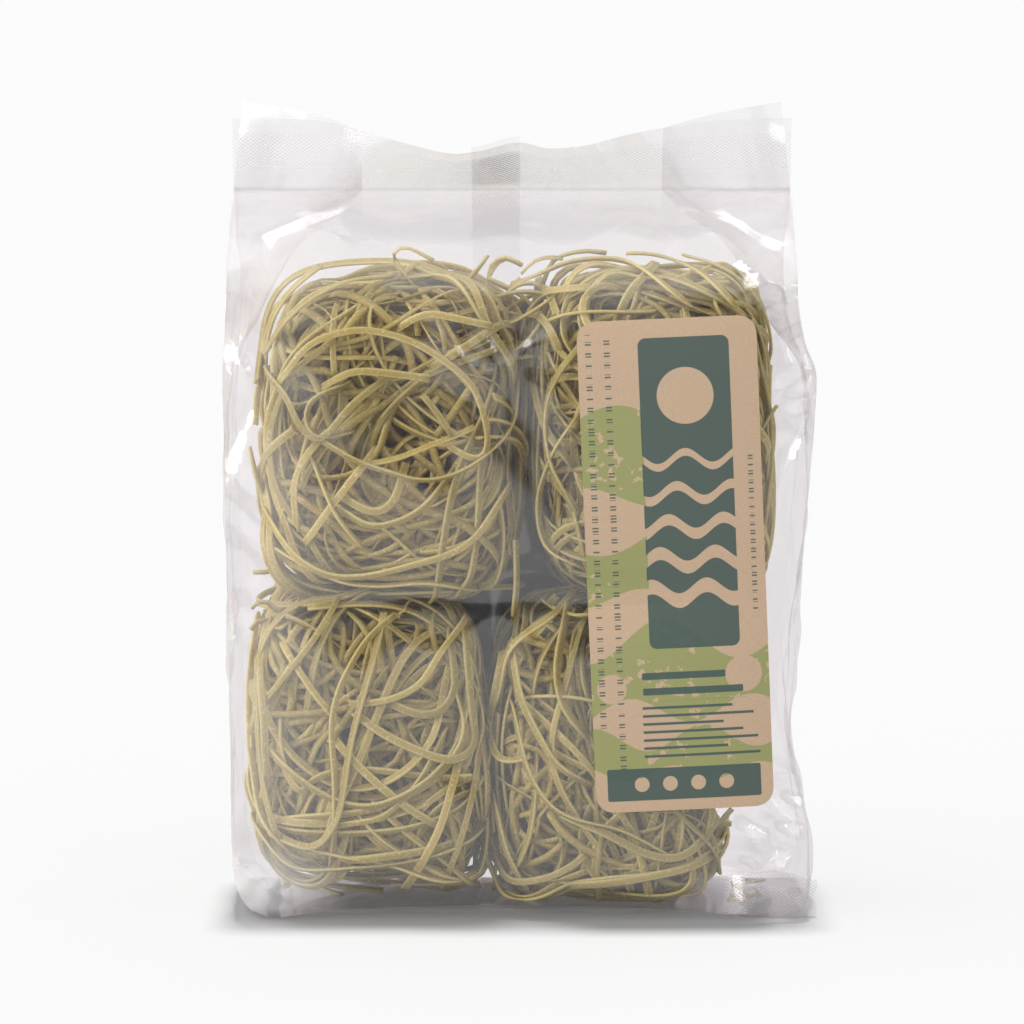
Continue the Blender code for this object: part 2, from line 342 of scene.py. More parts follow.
def paint(piece, name, values):
    """A colour attribute with four numbers for each point."""
    layer = piece.data.attributes.new(name, "FLOAT_COLOR", "POINT")
    layer.data.foreach_set("color", np.ascontiguousarray(values, dtype=np.float32).ravel())


def new_material(name):
    material = bpy.data.materials.new(name)
    material.use_nodes = True
    material.node_tree.nodes.clear()
    return material


class Shader:
    """The nodes of a material or of the world, each joined to what feeds it when it is made."""

    def __init__(self, tree):
        self.tree = tree
        self.coordinates = self.node("TexCoord")
        self.place = self.coordinates["Object"]

    def node(self, kind, *values, **named):
        """A node's outputs. Values go to its inputs in order, and named ones to settings or inputs."""
        made = self.tree.nodes.new("ShaderNode" + kind)
        for key, value in named.items():
            if hasattr(made, key):
                setattr(made, key, value)
            else:
                self.feed(made.inputs[key.replace("_", " ")], value)
        for socket, value in zip(made.inputs, values):
            self.feed(socket, value)
        return made.outputs

    def feed(self, socket, value):
        """Joins another node's output to an input, or sets the input's plain value."""
        if isinstance(value, bpy.types.NodeSocket):
            self.tree.links.new(value, socket)
        else:
            socket.default_value = value

    def math(self, operation, *values, clamp=False):
        return self.node("Math", *values, operation=operation, use_clamp=clamp)["Value"]

    def product(self, a, b):
        return self.math("MULTIPLY", a, b)

    def ramp(self, value, start, full, low=0.0, high=1.0):
        """Goes from low to high while a value goes from start to full."""
        ends = dict(From_Min=start, From_Max=full, To_Min=low, To_Max=high)
        return self.node("MapRange", Value=value, **ends)["Result"]

    def noise(self, scale, detail=2.0):
        return self.node("TexNoise", Vector=self.place, Scale=scale, Detail=detail)["Fac"]

    def colour(self, mask, below, above):
        """One colour over another where a mask says so."""
        below, above = (v if isinstance(v, bpy.types.NodeSocket) else (*v, 1) for v in (below, above))
        return self.node("Mix", data_type="RGBA", Factor=mask, A=below, B=above)["Result"]

    def attribute(self, name):
        return self.node("Attribute", attribute_name=name)

    def axes(self, vector):
        return self.node("SeparateXYZ", Vector=vector)

    def channels(self, colour):
        return self.node("SeparateColor", Color=colour)

    def bump(self, height, strength, distance, **under):
        return self.node("Bump", Height=height, Strength=strength, Distance=distance, **under)["Normal"]

    def mixed(self, share, first, second):
        """Two surfaces, with the second one's share."""
        return self.node("MixShader", share, first, second)["Shader"]


# Film


def lifted(x, depth, along, rear):
    """Points of the seal: depth off the middle plane, along the film from its foot."""
    ear = ear_share(x)
    risen = along / bag().seal_length
    reach = along + rear * ear * REAR_EXTRA * risen
    splay = EAR_SPLAY * ear**EAR_CURVE * risen
    inward = rear * REAR_INWARD * ear * risen
    side = 1 if rear else -1
    y = side * (depth + splay) - reach * np.sin(seal_lean(x))
    z = bag().seal_height + reach * np.cos(seal_lean(x))
    return np.stack([x - np.copysign(inward, x), y, z], axis=-1)


def panel_stops():
    """Places across a panel, -1 to 1, with the ears' share matched to the gussets'."""
    inner = 1 - 2 * bag().gusset_fold / bag().panel_width
    ear = np.linspace(1, inner, EAR_STEPS + 1)
    middle = np.linspace(-inner, inner, MIDDLE_STEPS + 1)
    return np.concatenate([-ear, middle[1:-1], ear[::-1]])


def gusset_bulge(share, height):
    fade = np.clip((BULGE_TOP - height) / BULGE_FADE, 0, 1)
    return SIDE_BULGE * (1 - share**2) * fade


def body_ring(height):
    """Points round the bag at one height, from the front left corner, anticlockwise from above."""
    left, right, edge, _, tuck = (float(v) for v in body_at(height))
    stops = panel_stops()
    xs = np.where(stops < 0, stops * left, stops * right)
    z = np.full(len(xs), height)
    depth = panel_depth(xs, height)
    front = np.stack([xs, -depth, z], axis=-1)
    rear = np.stack([xs, depth, z], axis=-1)

    def gusset(side, half):
        share = np.linspace(1, 0, EAR_STEPS + 1)
        out = side * (half - tuck * (1 - share) + gusset_bulge(share, height))
        y = (edge - PLY) * share
        near = np.stack([out, -y, np.full(len(out), height)], axis=-1)
        far = np.stack([out, y, np.full(len(out), height)], axis=-1)
        return np.concatenate([near, far[::-1][1:]])

    return np.concatenate([front, gusset(1, right), rear[::-1], gusset(-1, left)[::-1]])


def seal_ring(along):
    """Points round the seal, in the same order as a body ring."""
    half = bag().panel_width / 2
    xs = panel_stops() * half
    front = lifted(xs, PLY * 2, along, False)
    rear = lifted(xs, PLY * 2, along, True)

    def leaves(side):
        x = side * np.linspace(half, half - bag().gusset_fold, EAR_STEPS + 1)
        return np.concatenate([lifted(x, PLY, along, False), lifted(x, PLY, along, True)[::-1][1:]])

    return np.concatenate([front, leaves(1), rear[::-1], leaves(-1)[::-1]])


def film_stations():
    """Heights of the body's rings and distances along the seal."""
    body = np.concatenate([
        np.linspace(0.0, BASE_TOP, BASE_STATIONS, endpoint=False),
        np.linspace(BASE_TOP, SHOULDER_FOOT, BODY_STATIONS, endpoint=False),
        np.linspace(SHOULDER_FOOT, bag().seal_height - BELOW_SEAL, SHOULDER_STATIONS),
    ])
    return body, np.linspace(0, bag().seal_length, SEAL_STATIONS)


def ring_parts():
    """Index ranges of a ring: front panel, right gusset, rear panel, left gusset."""
    panel = 2 * EAR_STEPS + MIDDLE_STEPS + 1
    gusset = 2 * EAR_STEPS + 1
    bounds = np.cumsum([0, panel, gusset, panel, gusset])
    return [np.arange(a, b) for a, b in zip(bounds[:-1], bounds[1:])]


def crease(points, path, height, width, sharp=1.0):
    """Lift along a folded line given as a path of (x, z): a ridge that fades at its ends."""
    best = np.zeros(len(points))
    path = np.array(path)
    lengths = np.linalg.norm(np.diff(path, axis=0), axis=1)
    reached = np.concatenate([[0], np.cumsum(lengths)]) / lengths.sum()
    for k in range(len(path) - 1):
        a, b = path[k], path[k + 1]
        t = (((points - a) @ (b - a)) / ((b - a) @ (b - a))).clip(0, 1)
        gap = np.linalg.norm(points - (a + t[:, None] * (b - a)), axis=1)
        along = reached[k] + t * (reached[k + 1] - reached[k])
        ends = np.sin(math.pi * along.clip(0.02, 0.98)) ** 0.5
        best = np.maximum(best, np.exp(-((gap / width) ** sharp)) * ends)
    return height * best


CRUMPLE_WAYS = 4
CRUMPLE_FINER = 0.8  # each way's facets as a share of the ones before
CRUMPLE_FADE = 1.8


def crumple(across, up, centre, reach, pitch, seed):
    """Flat facets with sharp edges between them, about a centre."""
    rng = np.random.default_rng(seed)
    lift = np.zeros_like(across)
    for way in rng.uniform(0, math.pi, CRUMPLE_WAYS):
        run = ((across - centre[0]) * math.cos(way) + (up - centre[1]) * math.sin(way)) / pitch
        lift += np.abs(2 * ((run + rng.uniform()) % 1) - 1) - 0.5
        pitch *= CRUMPLE_FINER
    gap = np.hypot((across - centre[0]) / reach[0], (up - centre[1]) / reach[1])
    return lift / 2 * np.clip(CRUMPLE_FADE * (1 - gap), 0, 1)


def from_photo(*pixels):
    """Places on the front of the bag, as x and z, from places in the photograph."""
    pitch, middle, ground = 0.000287, 512, 915
    return [((x - middle) * pitch, (ground - y) * pitch) for x, y in pixels]


FRONT_FOLDS = (
    # height of a fold, its half width, how sharp it is, and its places in the photograph
    (0.0018, 0.0036, 1.3, (233, 274), (262, 255), (287, 237), (306, 226), (327, 232), (354, 253), (395, 290)),
    (0.0014, 0.0050, 1.5, (371, 203), (411, 220), (450, 235), (484, 262)),
    (0.0013, 0.0040, 1.4, (300, 205), (340, 218), (372, 236), (402, 262)),
    (0.0012, 0.0045, 1.4, (452, 202), (478, 222), (520, 236), (556, 262)),
    (0.0013, 0.0042, 1.4, (640, 203), (612, 222), (590, 240), (552, 266)),
    (0.0012, 0.0040, 1.4, (560, 202), (586, 220), (628, 232), (668, 258)),
    (0.0026, 0.0022, 1.0, (664, 202), (689, 216), (721, 241), (744, 267), (793, 295)),
    (0.0011, 0.0034, 1.2, (790, 193), (748, 214), (708, 236)),
    (0.0026, 0.0027, 1.0, (430, 318), (448, 342), (468, 360), (490, 369), (512, 362), (532, 343), (556, 331)),
    (0.0012, 0.0018, 1.0, (470, 318), (492, 350), (508, 372)),
    (0.0013, 0.0018, 1.0, (757, 280), (748, 300), (757, 316), (773, 308), (778, 286)),
    (0.0016, 0.0018, 1.0, (793, 296), (770, 312), (757, 335), (784, 356), (803, 368)),
    (0.0022, 0.0017, 1.0, (803, 366), (804, 416), (788, 455), (771, 499), (756, 548)),
    (0.0017, 0.0014, 1.0, (737, 808), (756, 838), (773, 864), (795, 843), (798, 800)),
    (0.0014, 0.0016, 1.0, (737, 818), (766, 848), (797, 880)),
    (0.0016, 0.0016, 1.0, (236, 858), (262, 874), (300, 903)),
    (0.0009, 0.0016, 1.0, (240, 590), (238, 700), (243, 850)),
    (0.0012, 0.0022, 1.0, (234, 330), (252, 372), (262, 408), (246, 452)),
    (0.0010, 0.0020, 1.0, (262, 306), (246, 352), (262, 398)),
)
FRONT_CRUMPLES = (
    # height, place in the photograph, reach across and up, size of the facets and seed
    (0.0022, (775, 335), (0.017, 0.036), 0.016, 3),
    (0.0021, (775, 850), (0.018, 0.028), 0.014, 5),
    (0.0006, (262, 885), (0.016, 0.014), 0.012, 8),
    (0.0012, (242, 500), (0.014, 0.060), 0.020, 13),
    (0.0012, (440, 225), (0.050, 0.020), 0.026, 17),
    (0.0012, (500, 365), (0.020, 0.014), 0.017, 19),
)
REAR_STRETCH = 0.9  # the rear panel has the same folds, a little narrower, aside and lower
REAR_SHIFT = 0.004
REAR_SHARE = 0.8
SIDE_CRUMPLES = (
    # height, middle and reach along the depth and up, and size of the facets
    (0.0011, (0, 0.05), (0.06, 0.09), 0.024),
    (0.0011, (0, 0.16), (0.06, 0.07), 0.020),
)
SIDE_SEEDS = (21, 34)
SIDE_HALF_DEPTH = 0.032
FOLD_FADE = 0.012  # folds fade over this height below the seal
FRONT_WAVES = (
    # height, radians a metre across and up, its meander, radians a metre of that, and where that starts
    (0.00035, 95, 0, 2.1, 0, 40, 1.0),
    (0.00030, 0, 120, 1.7, 55, 0, 0.0),
    (0.00018, 210, 160, 0.0, 0, 0, 0.0),
)
SIDE_WAVES = (
    # the same, but each side has its own start
    (0.0006, 160, 0, 2, 0, 60),
    (0.0005, 90, 130, 0, 0, 0),
)
LABEL_MARGIN = 0.006  # film that a label keeps flat beside it


def soft_waves(across, up, table):
    lift = 0
    for height, run, rise, meander, meander_run, meander_rise, start in table:
        bend = meander * np.sin(across * meander_run + up * meander_rise + start)
        lift = lift + height * np.sin(across * run + up * rise + bend)
    return lift


def front_creases(x, z):
    """Folds, crumples and soft waves of the front panel."""
    at = np.stack([x, z], axis=-1)
    lift = np.zeros(len(x))
    for height, width, sharp, *path in FRONT_FOLDS:
        lift += crease(at, from_photo(*path), height, width, sharp)
    for height, place, reach, pitch, seed in FRONT_CRUMPLES:
        centre, = from_photo(place)
        lift += height * crumple(x, z, centre, reach, pitch, seed)
    return lift + soft_waves(x, z, FRONT_WAVES)


def under_label(x, z, name):
    """1 where a label keeps the film flat, falling to 0 beyond it."""
    low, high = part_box(name)
    dx = np.maximum(np.maximum(low[0] - x, x - high[0]), 0)
    dz = np.maximum(np.maximum(low[2] - z, z - high[2]), 0)
    return np.clip(1 - np.hypot(dx, dz) / LABEL_MARGIN, 0, 1)


def crease_film(rings, heights):
    """Adds the folds to the body's rings, each off its own panel."""
    front, right, rear, left = ring_parts()
    fade = np.clip((bag().seal_height - heights) / FOLD_FADE, 0, 1)[:, None]
    x, z = rings[:, front, 0], rings[:, front, 2]
    lift = front_creases(x.ravel(), z.ravel()).reshape(x.shape)
    rings[:, front, 1] -= lift * fade * (1 - under_label(x, z, "label"))
    x, z = rings[:, rear, 0], rings[:, rear, 2]
    lift = front_creases(REAR_STRETCH * x.ravel() - REAR_SHIFT, z.ravel()).reshape(x.shape)
    rings[:, rear, 1] += lift * fade * REAR_SHARE * (1 - under_label(x, z, "back_label"))
    for part, side, seed in zip((right, left), (1, -1), SIDE_SEEDS):
        y, z = rings[:, part, 1], rings[:, part, 2]
        wave = soft_waves(y, z, [(*row, side) for row in SIDE_WAVES])
        for turn, (height, centre, reach, pitch) in enumerate(SIDE_CRUMPLES):
            wave = wave + height * crumple(y, z, centre, reach, pitch, seed + turn)
        edge = 1 - (np.abs(y) / SIDE_HALF_DEPTH).clip(0, 1) ** 4
        rings[:, part, 0] += side * wave * edge * fade


def grid_quads(rows, columns, wrap):
    """Quads of a grid of points, row by row, closed round each row if wrap is set."""
    across = np.arange(columns if wrap else columns - 1)
    following = (across + 1) % columns
    start = (np.arange(rows - 1) * columns)[:, None]
    quads = np.stack([start + across, start + following, start + columns + following,
                      start + columns + across], axis=-1)
    return quads.reshape(-1, 4)


def sheet(grid, thickness):
    """A closed thin sheet on a grid of points. Thickness points to where its quads face."""
    rows, columns = grid.shape[:2]
    count = rows * columns
    index = np.arange(count).reshape(rows, columns)
    face = grid_quads(rows, columns, False)
    rim = np.concatenate([index[0, :-1], index[:-1, -1], index[-1, :0:-1], index[:0:-1, 0]])
    following = np.roll(rim, -1)
    edge = np.stack([rim, following, following + count, rim + count], axis=-1)
    points = np.concatenate([grid.reshape(-1, 3), (grid + thickness).reshape(-1, 3)])
    return points, np.concatenate([face[:, ::-1], face + count, edge])


SEAM_FIRST = 6  # the ring of the body at which the seam strip starts
SEAM_STEPS = 7
SEAM_TOP = (0.0009, 0.0018, 0.0026)  # its stations above the cut edge of the seal


def seam_strip():
    """The lap seam down the back, with its end that stands above the seal."""
    body, seal = film_stations()
    across = np.linspace(-0.5, 0.5, SEAM_STEPS + 1) * SEAM_WIDTH + SEAM_CENTRE
    rows = []
    for height in body[SEAM_FIRST:]:
        level = np.full(len(across), height)
        rows.append(np.stack([across, panel_depth(across, level) + SEAM_OFFSET, level], axis=-1))
    for along in np.concatenate([seal, bag().seal_length + np.array(SEAM_TOP)]):
        rows.append(lifted(across, PLY * 2 + SEAM_OFFSET, along, True))
    return np.array(rows)


FIN_STEPS = 90
FIN_ROWS = 9
FIN_TURN = 0.008  # it turns up over this width
FIN_LOW = 0.0016  # its height where it is folded under
FIN_SLANT = 0.004  # it slants forward by this to its end
FIN_EDGE = (0.9, 0.1, 9)  # middle share of its height, how far that comes and goes, and how often
# Waves of the fin: their height and how often they come, along its end or along all of it.
FIN_SWAY = (0.0016, 7)
FIN_RIPPLE = (0.0012, 260)
FIN_LEAN = (0.0018, 5)
FIN_FLUTTER = (0.0007, 420)
FIN_RAGGED = (0.0006, 9)


def sway(values, height, rate):
    return height * np.sin(rate * values)


def bottom_fin():
    """The bottom seal, folded under the front and standing out at its right end."""
    across = np.linspace(FIN_LOW_END, FIN_END, FIN_STEPS)
    raised = np.clip((across - FIN_START) / FIN_TURN, 0, 1)
    share = ((across - FIN_START) / (FIN_END - FIN_START)).clip(0, 1)
    middle, spread, rate = FIN_EDGE
    top = FIN_LOW + (FIN_HEIGHT * (middle + spread * np.cos(rate * share)) - FIN_LOW) * raised
    y = FIN_DEPTH - FIN_SLANT * share + sway(share, *FIN_SWAY) - sway(across, *FIN_RIPPLE) * (1 - raised)
    lean = (sway(share, *FIN_LEAN) + sway(across, *FIN_FLUTTER)) * raised
    rows = []
    for up in np.linspace(0, 1, FIN_ROWS):
        end = sway(up, *FIN_RAGGED) * (across > FIN_END - 1e-6)
        rows.append(np.stack([across + end, y + lean * up, FIN_FOOT + (top - FIN_FOOT) * up], axis=-1))
    return np.array(rows)


NO_SEAL = -1.0  # the place along the seal that is given to film below it
FIN_SHIFT = 0.0022  # the fin's height and this give its place in the pressed band
OVER_SEAM = 0.58  # half width of the net's strong part, as a share of the seam's width
SHOULDER_THINS = (0.168, 0.020)  # the gussets' film thins from this height, over this height
FIN_CLEAR = 0.01  # the fin's own net starts this far past its start
FIN_TOP = 0.02  # above the fin and below the seal
THIN_EDGE = 0.0006  # over this length the seal's film becomes thin


def film_piece():
    """The tube of film with its gusset tucks, sealed top and closed base, seam strip and bottom fin."""
    heights, alongs = film_stations()
    rings = np.array([body_ring(h) for h in heights])
    crease_film(rings, heights)
    lift_base(rings, heights)
    rings = np.concatenate([rings, np.array([seal_ring(s) for s in alongs])])
    rows, columns = rings.shape[:2]
    tube = rows * columns
    base, base_quads = base_patch(rings[0], tube)
    points = [rings.reshape(-1, 3), base]
    quads = [grid_quads(rows, columns, True), base_quads, seal_cap(tube - columns)]
    up = np.repeat(np.concatenate([np.full(len(heights), NO_SEAL), alongs]), columns)
    marks = [up, np.full(len(base), NO_SEAL)]
    shell = count = tube + len(base)
    strip, fin = seam_strip(), bottom_fin()
    below = np.full(len(heights) - SEAM_FIRST, NO_SEAL)
    strip_up = np.concatenate([below, alongs, np.ones(len(SEAM_TOP))])
    for grid, rise in ((strip, np.repeat(strip_up, strip.shape[1])), (fin, fin[..., 2].ravel() + FIN_SHIFT)):
        made, faces = sheet(grid, np.array([0, -PLY / 2, 0]))
        points.append(made)
        quads.append(faces + count)
        marks.append(np.tile(rise, 2))
        count += len(made)
    points, marks = np.concatenate(points), np.concatenate(marks)
    piece = mesh_piece("film", points, np.concatenate(quads))
    paint(piece, "seal", film_masks(points, marks, rings, shell, 2 * strip[..., 0].size))
    layer = piece.data.attributes.new("band", "FLOAT_VECTOR", "POINT")
    place = np.stack([points[:, 0], marks, np.zeros(len(points))], axis=-1)
    layer.data.foreach_set("vector", place.astype(np.float32).ravel())
    return piece


def film_masks(points, marks, rings, shell, strip_size):
    """Masks of the pressed band, the seam, the thin film and the lap, for each point."""
    front, right, _, left = ring_parts()
    tube = rings[..., 0].size

    def on_rings(mask):
        return mask[:tube].reshape(rings.shape[:2])

    low, high = bag().seal_length * BAND_FROM, bag().seal_length * BAND_TO
    banded = np.clip(np.minimum(marks - low, high - marks) / BAND_EDGE, 0, 1)
    banded *= (points[:, 2] > FIN_TOP) | (points[:, 0] > FIN_START + FIN_CLEAR)
    on_rings(banded)[:, len(front):] = 0
    over_seam = bump(points[:, 0] - SEAM_CENTRE, OVER_SEAM * SEAM_WIDTH)
    thinner = np.clip(marks / THIN_EDGE, 0, 1)
    within = np.concatenate([right[2:-2], left[2:-2]])
    start, height = SHOULDER_THINS
    on_rings(thinner)[:, within] = np.clip((rings[:, within, 2] - start) / height, 0, 1)
    thinner[shell:] = 1
    lapped = np.zeros(len(points))
    lapped[shell:shell + strip_size] = 1
    return np.stack([banded, over_seam, thinner, lapped], axis=-1)


ARCH_HEIGHT = 0.0036  # of the lower edges of the panels, off the floor
ARCH_HALF_WIDTH = 0.066
ARCH_FADE = 0.016


def lift_base(rings, heights):
    """Arches the lower edge of the front and the rear panel off the floor between its corners."""
    front, _, rear, _ = ring_parts()
    near = np.clip(1 - heights / ARCH_FADE, 0, 1)[:, None]
    for part in (front, rear):
        x = rings[:, part, 0]
        arch = ARCH_HEIGHT * (1 - np.abs(x / ARCH_HALF_WIDTH).clip(0, 1) ** 3)
        rings[:, part, 2] += arch * near


def base_patch(ring, first):
    """A sheet across the bottom ring, with as many rows as a gusset has steps."""
    front, right, rear, left = ring_parts()
    near, far = ring[front], ring[rear][::-1]
    start, end = ring[left][::-1], ring[right]
    rows, columns = len(start), len(near)
    across = np.linspace(0, 1, columns)[None, :, None]
    deep = np.linspace(0, 1, rows)[:, None, None]
    ruled = near[None] * (1 - deep) + far[None] * deep
    sides = start[:, None] * (1 - across) + end[:, None] * across
    corners = (
        (near[0] * (1 - across) + near[-1] * across) * (1 - deep)
        + (far[0] * (1 - across) + far[-1] * across) * deep
    )
    patch = ruled + sides - corners
    index = first + np.arange(rows * columns).reshape(rows, columns)
    index[0] = front
    index[-1] = rear[::-1]
    quads = np.stack([index[:-1, :-1], index[1:, :-1], index[1:, 1:], index[:-1, 1:]], axis=-1)
    side_quads = []
    for column, part, flip in ((0, left[::-1], False), (columns - 1, right, True)):
        inner = index[:, column]
        made = np.stack([part[:-1], part[1:], inner[1:], inner[:-1]], axis=-1)
        side_quads.append(made[:, ::-1] if flip else made)
    return patch.reshape(-1, 3), np.concatenate([quads.reshape(-1, 4), *side_quads])


def seal_cap(first):
    """Closes the cut edge, panel to gusset at the ears and panel to panel between them."""
    front, right, rear, left = ring_parts()
    rear = rear[::-1]
    n = EAR_STEPS
    pairs = [
        (front[-1 - n:][::-1], right[: n + 1]),
        (right[n:], rear[-1 - n:]),
        (left[n:][::-1], front[: n + 1]),
        (rear[: n + 1], left[: n + 1]),
        (front[n:-n], rear[n:-n]),
    ]
    quads = [np.stack([a[:-1], a[1:], b[1:], b[:-1]], axis=-1) for a, b in pairs]
    return first + np.concatenate(quads)


def diamond_lines(draw):
    """A net of slanting lines over the seal's band, and masks of the seam, the thin film and the lap."""
    band = draw.axes(draw.attribute("band")["Vector"])
    across = draw.product(band["X"], math.pi / DIAMOND_WIDTH)
    up = draw.product(band["Y"], math.pi / DIAMOND_HEIGHT)
    slants = [draw.math(way, across, up) for way in ("ADD", "SUBTRACT")]
    ridges = [draw.math("ABSOLUTE", draw.math("SINE", slant)) for slant in slants]
    lines = draw.ramp(draw.math("MINIMUM", *ridges), *DIAMOND_EDGE)
    seal = draw.attribute("seal")
    masks = draw.channels(seal["Color"])
    return draw.product(lines, masks["Red"]), masks["Green"], masks["Blue"], seal["Alpha"]


def film_haze(draw, net):
    """How much of the light the film scatters: more on the net, at its left side and at a folded corner."""
    at = draw.axes(draw.place)
    left = draw.ramp(at["X"], *LEFT_SIDE)
    plain = draw.math("MULTIPLY_ADD", net, NET_HAZE, bag().film_haze, clamp=True)
    beside_nests = draw.product(left, draw.ramp(at["Z"], *BELOW_TOP))
    rubbed = draw.math("MULTIPLY_ADD", beside_nests, SIDE_HAZE, plain)
    corner = draw.product(draw.ramp(at["Z"], *ABOVE_FLOOR), left)
    return draw.math("MULTIPLY_ADD", corner, CORNER_HAZE, rubbed, clamp=True)


def film_material():
    """Thin clear film: mostly see-through, a shine that grows at a slant, and a little haze."""
    material = new_material("clear_film")
    draw = Shader(material.node_tree)
    net, over_seam, thinner, lapped = diamond_lines(draw)
    rippled = draw.bump(draw.noise(RIPPLE_SCALE), RIPPLE_STRENGTH, RIPPLE_HEIGHT)
    normal = draw.bump(net, NET_STRENGTH, NET_HEIGHT, Normal=rippled)

    layer = draw.colour(thinner, bag().film_tint, bag().thin_tint)
    seam_share = draw.math("MULTIPLY_ADD", over_seam, 1 - NET_OFF_SEAM, NET_OFF_SEAM, clamp=True)
    pressed_tint = [NET_TINT * c for c in bag().film_tint]
    tint = draw.colour(draw.product(net, seam_share), layer, pressed_tint)
    clear = draw.node("BsdfTransparent", Color=tint)["BSDF"]
    haze = draw.node("BsdfDiffuse", Color=HAZE_COLOUR)["BSDF"]
    veil = draw.mixed(film_haze(draw, net), clear, haze)

    facing = draw.node("LayerWeight", Blend=0.5, Normal=normal)["Facing"]
    plain = draw.ramp(lapped, 0, 1, bag().film_shine, LAP_SHINE * bag().film_shine)
    share = draw.math("MULTIPLY_ADD", draw.math("POWER", facing, SLANT_POWER), SLANT_SHINE, plain, clamp=True)
    shine = draw.node("BsdfGlossy", Roughness=bag().film_gloss, Normal=normal)["BSDF"]
    draw.node("OutputMaterial", Surface=draw.mixed(share, veil, shine))
    return material


class NOODLE_OT_film(bpy.types.Operator):
    """Makes the bag's film, with its gussets, folds and seals"""

    bl_idname = "noodle.film"
    bl_label = "Film"

    def execute(self, context):
        film = film_piece()
        film.data.materials.append(film_material())
        deselect()
        film.select_set(True)
        context.view_layer.objects.active = film
        bpy.ops.object.mode_set(mode="EDIT")
        bpy.ops.mesh.select_all(action="SELECT")
        bpy.ops.mesh.normals_make_consistent(inside=False)
        bpy.ops.object.mode_set(mode="OBJECT")
        bpy.ops.object.shade_smooth_by_angle(angle=FOLD_ANGLE)
        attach(film, "root")
        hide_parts("bag")
        return {"FINISHED"}


# Noodles

STATION = 0.0022  # between two sections of a strand
CURVE_STEPS = 16  # between two given places of a curve
SECTION = (
    # across and through the ribbon as shares of its half width and half thickness, and how much rim it is,
    # which takes the painted glow of light through the rims
    (1.00, 0.00, 1.0),
    (0.80, 1.00, 1.0),
    (0.00, 0.55, 0.0),
    (-0.80, 1.00, 1.0),
    (-1.00, 0.00, 1.0),
    (-0.80, -1.00, 1.0),
    (0.00, -0.55, 0.0),
    (0.80, -1.00, 1.0),
)
PLAIN_SECTION = ((1.0, 0.0, 1.0), (0.0, 0.8, 0.2), (-1.0, 0.0, 1.0), (0.0, -0.8, 0.2))
SQUARE_FACE = 4.4  # how square a nest's face is, seen from the front
SQUARE_MIDDLE = 11.0  # and how square it is behind its face, where the nests press on each other
SQUARE_DEPTH = 4.0  # and seen from its side
NEST_DEPTH = 0.0312
FOLLOWERS = 2
CORE_SHARE = 0.88  # the loose core's size as a share of its nest's
CORE_STRANDS = 62
CORE_STRIDE = 2  # its strands have one section where the others have two
RAGGED = 1.06  # how far strands stray past a nest's form, as a share of its size
LEAST_SIZE = 0.95
FIRM = 5  # strands of a greater weight keep their curl
HOOPS = 11  # strands that run round the outside of a nest behind its face
HOOP_TURNS = (0.35, 0.95)
HOOP_DEPTHS = (-0.55, 0.75)
HOOP_SIZES = (0.90, 1.0)
HOOP_SWAY = 0.14
HOOP_RAGGED = 0.045
HOOP_POINTS = 60
HOOP_PITCH = 1.6  # their sections are this many stations apart
NEST_MARGIN = 0.0012
FACE_BACK = 0.85  # a nest starts to grow square behind this share of its half depth
FACE_FADE = 0.7  # and is as square as its middle this much further in
FACE_EDGE = 0.99
FACE_OUTLINE = 0.985  # past this the face is as deep as at its outline
CUT_SPREAD = math.radians(24)  # how far round a cut corner reaches
CUT_BEHIND = 0.5  # how much of the cut is lost behind the face
BEND_SPREAD = 30  # curves of the strands, in radians for each metre
BEND_CHANGE = 34
START_LEVELS = (0.55, 0.98)
START_GRAIN = 1.2
TILT_SPREAD = 0.5
BEND_MEMORY = 0.030  # a strand forgets its curve over this length
DIVE_USUAL = 0.35  # how deep a strand runs, as a share of its way in
DIVE_CHANGE = 0.36
DIVE_MEMORY = 0.05
DIVE_DEPTH = 0.42
DIVE_LIMIT = 1.3
DIVE_CURVE = 1.3
GRAIN_PULL = 0.035
CLIMB_RATE = 4.0
CLIMB_LIMIT = 0.75
CLIMB_PULL = 0.45
FOLLOW_GAP = (0.0021, 0.0031)
FOLLOW_DRIFT = 0.0010  # aside, and less in and out
FOLLOW_SINK = 0.0006
SUNK_END = ((0.004, 0.004), (0.005, 0.012), (0.003, 0.020))  # a hidden end: on along it, and inward
SETTLE_ROUNDS = 26
NEW_PAIRS = 3  # the crossings are looked for again after this many rounds
SETTLE_SHARE = 0.8  # of each push that is taken in a round
LAYER_GAP = 1.05  # between strands that cross, in thicknesses
LAYER_REACH = 0.95  # how near they have to be, in widths
HEAVY_ABOVE = 0.0012  # a heavier strand passes above a lighter one that stands out less than this
LAID_WEIGHT = 8.0
HOOP_WEIGHT = 1.5
FILM_CLEARANCE = 0.0026
FLOOR_CLEARANCE = 0.0022
FILM_HEIGHTS = (0.004, 0.2)  # the film is met between these
WIDTHS = (0.78, 1.12)  # the strands' own widths and thicknesses, as shares
THICKNESSES = (0.85, 1.15)
TWIST = 0.07
TWIST_SMOOTHING = 24
DRIFT_SMOOTHING = 30
STRAND_LEAN = 0.45

# The noodles' finish. Pairs are where something starts and is full, or the tones at its ends.
MOTTLE_SCALE = 1100.0
MOTTLE_SHARE = 0.6
# Painted glow: where across a noodle's section the lighter rim colour, standing for light through the rims,
# takes over.
RIM_GLOW_EDGE = (0.50, 0.90)
FLECK_EDGE = (0.56, 0.70)
FLECK_SHARE = 0.55
STRAND_TONES = (0.86, 1.16)
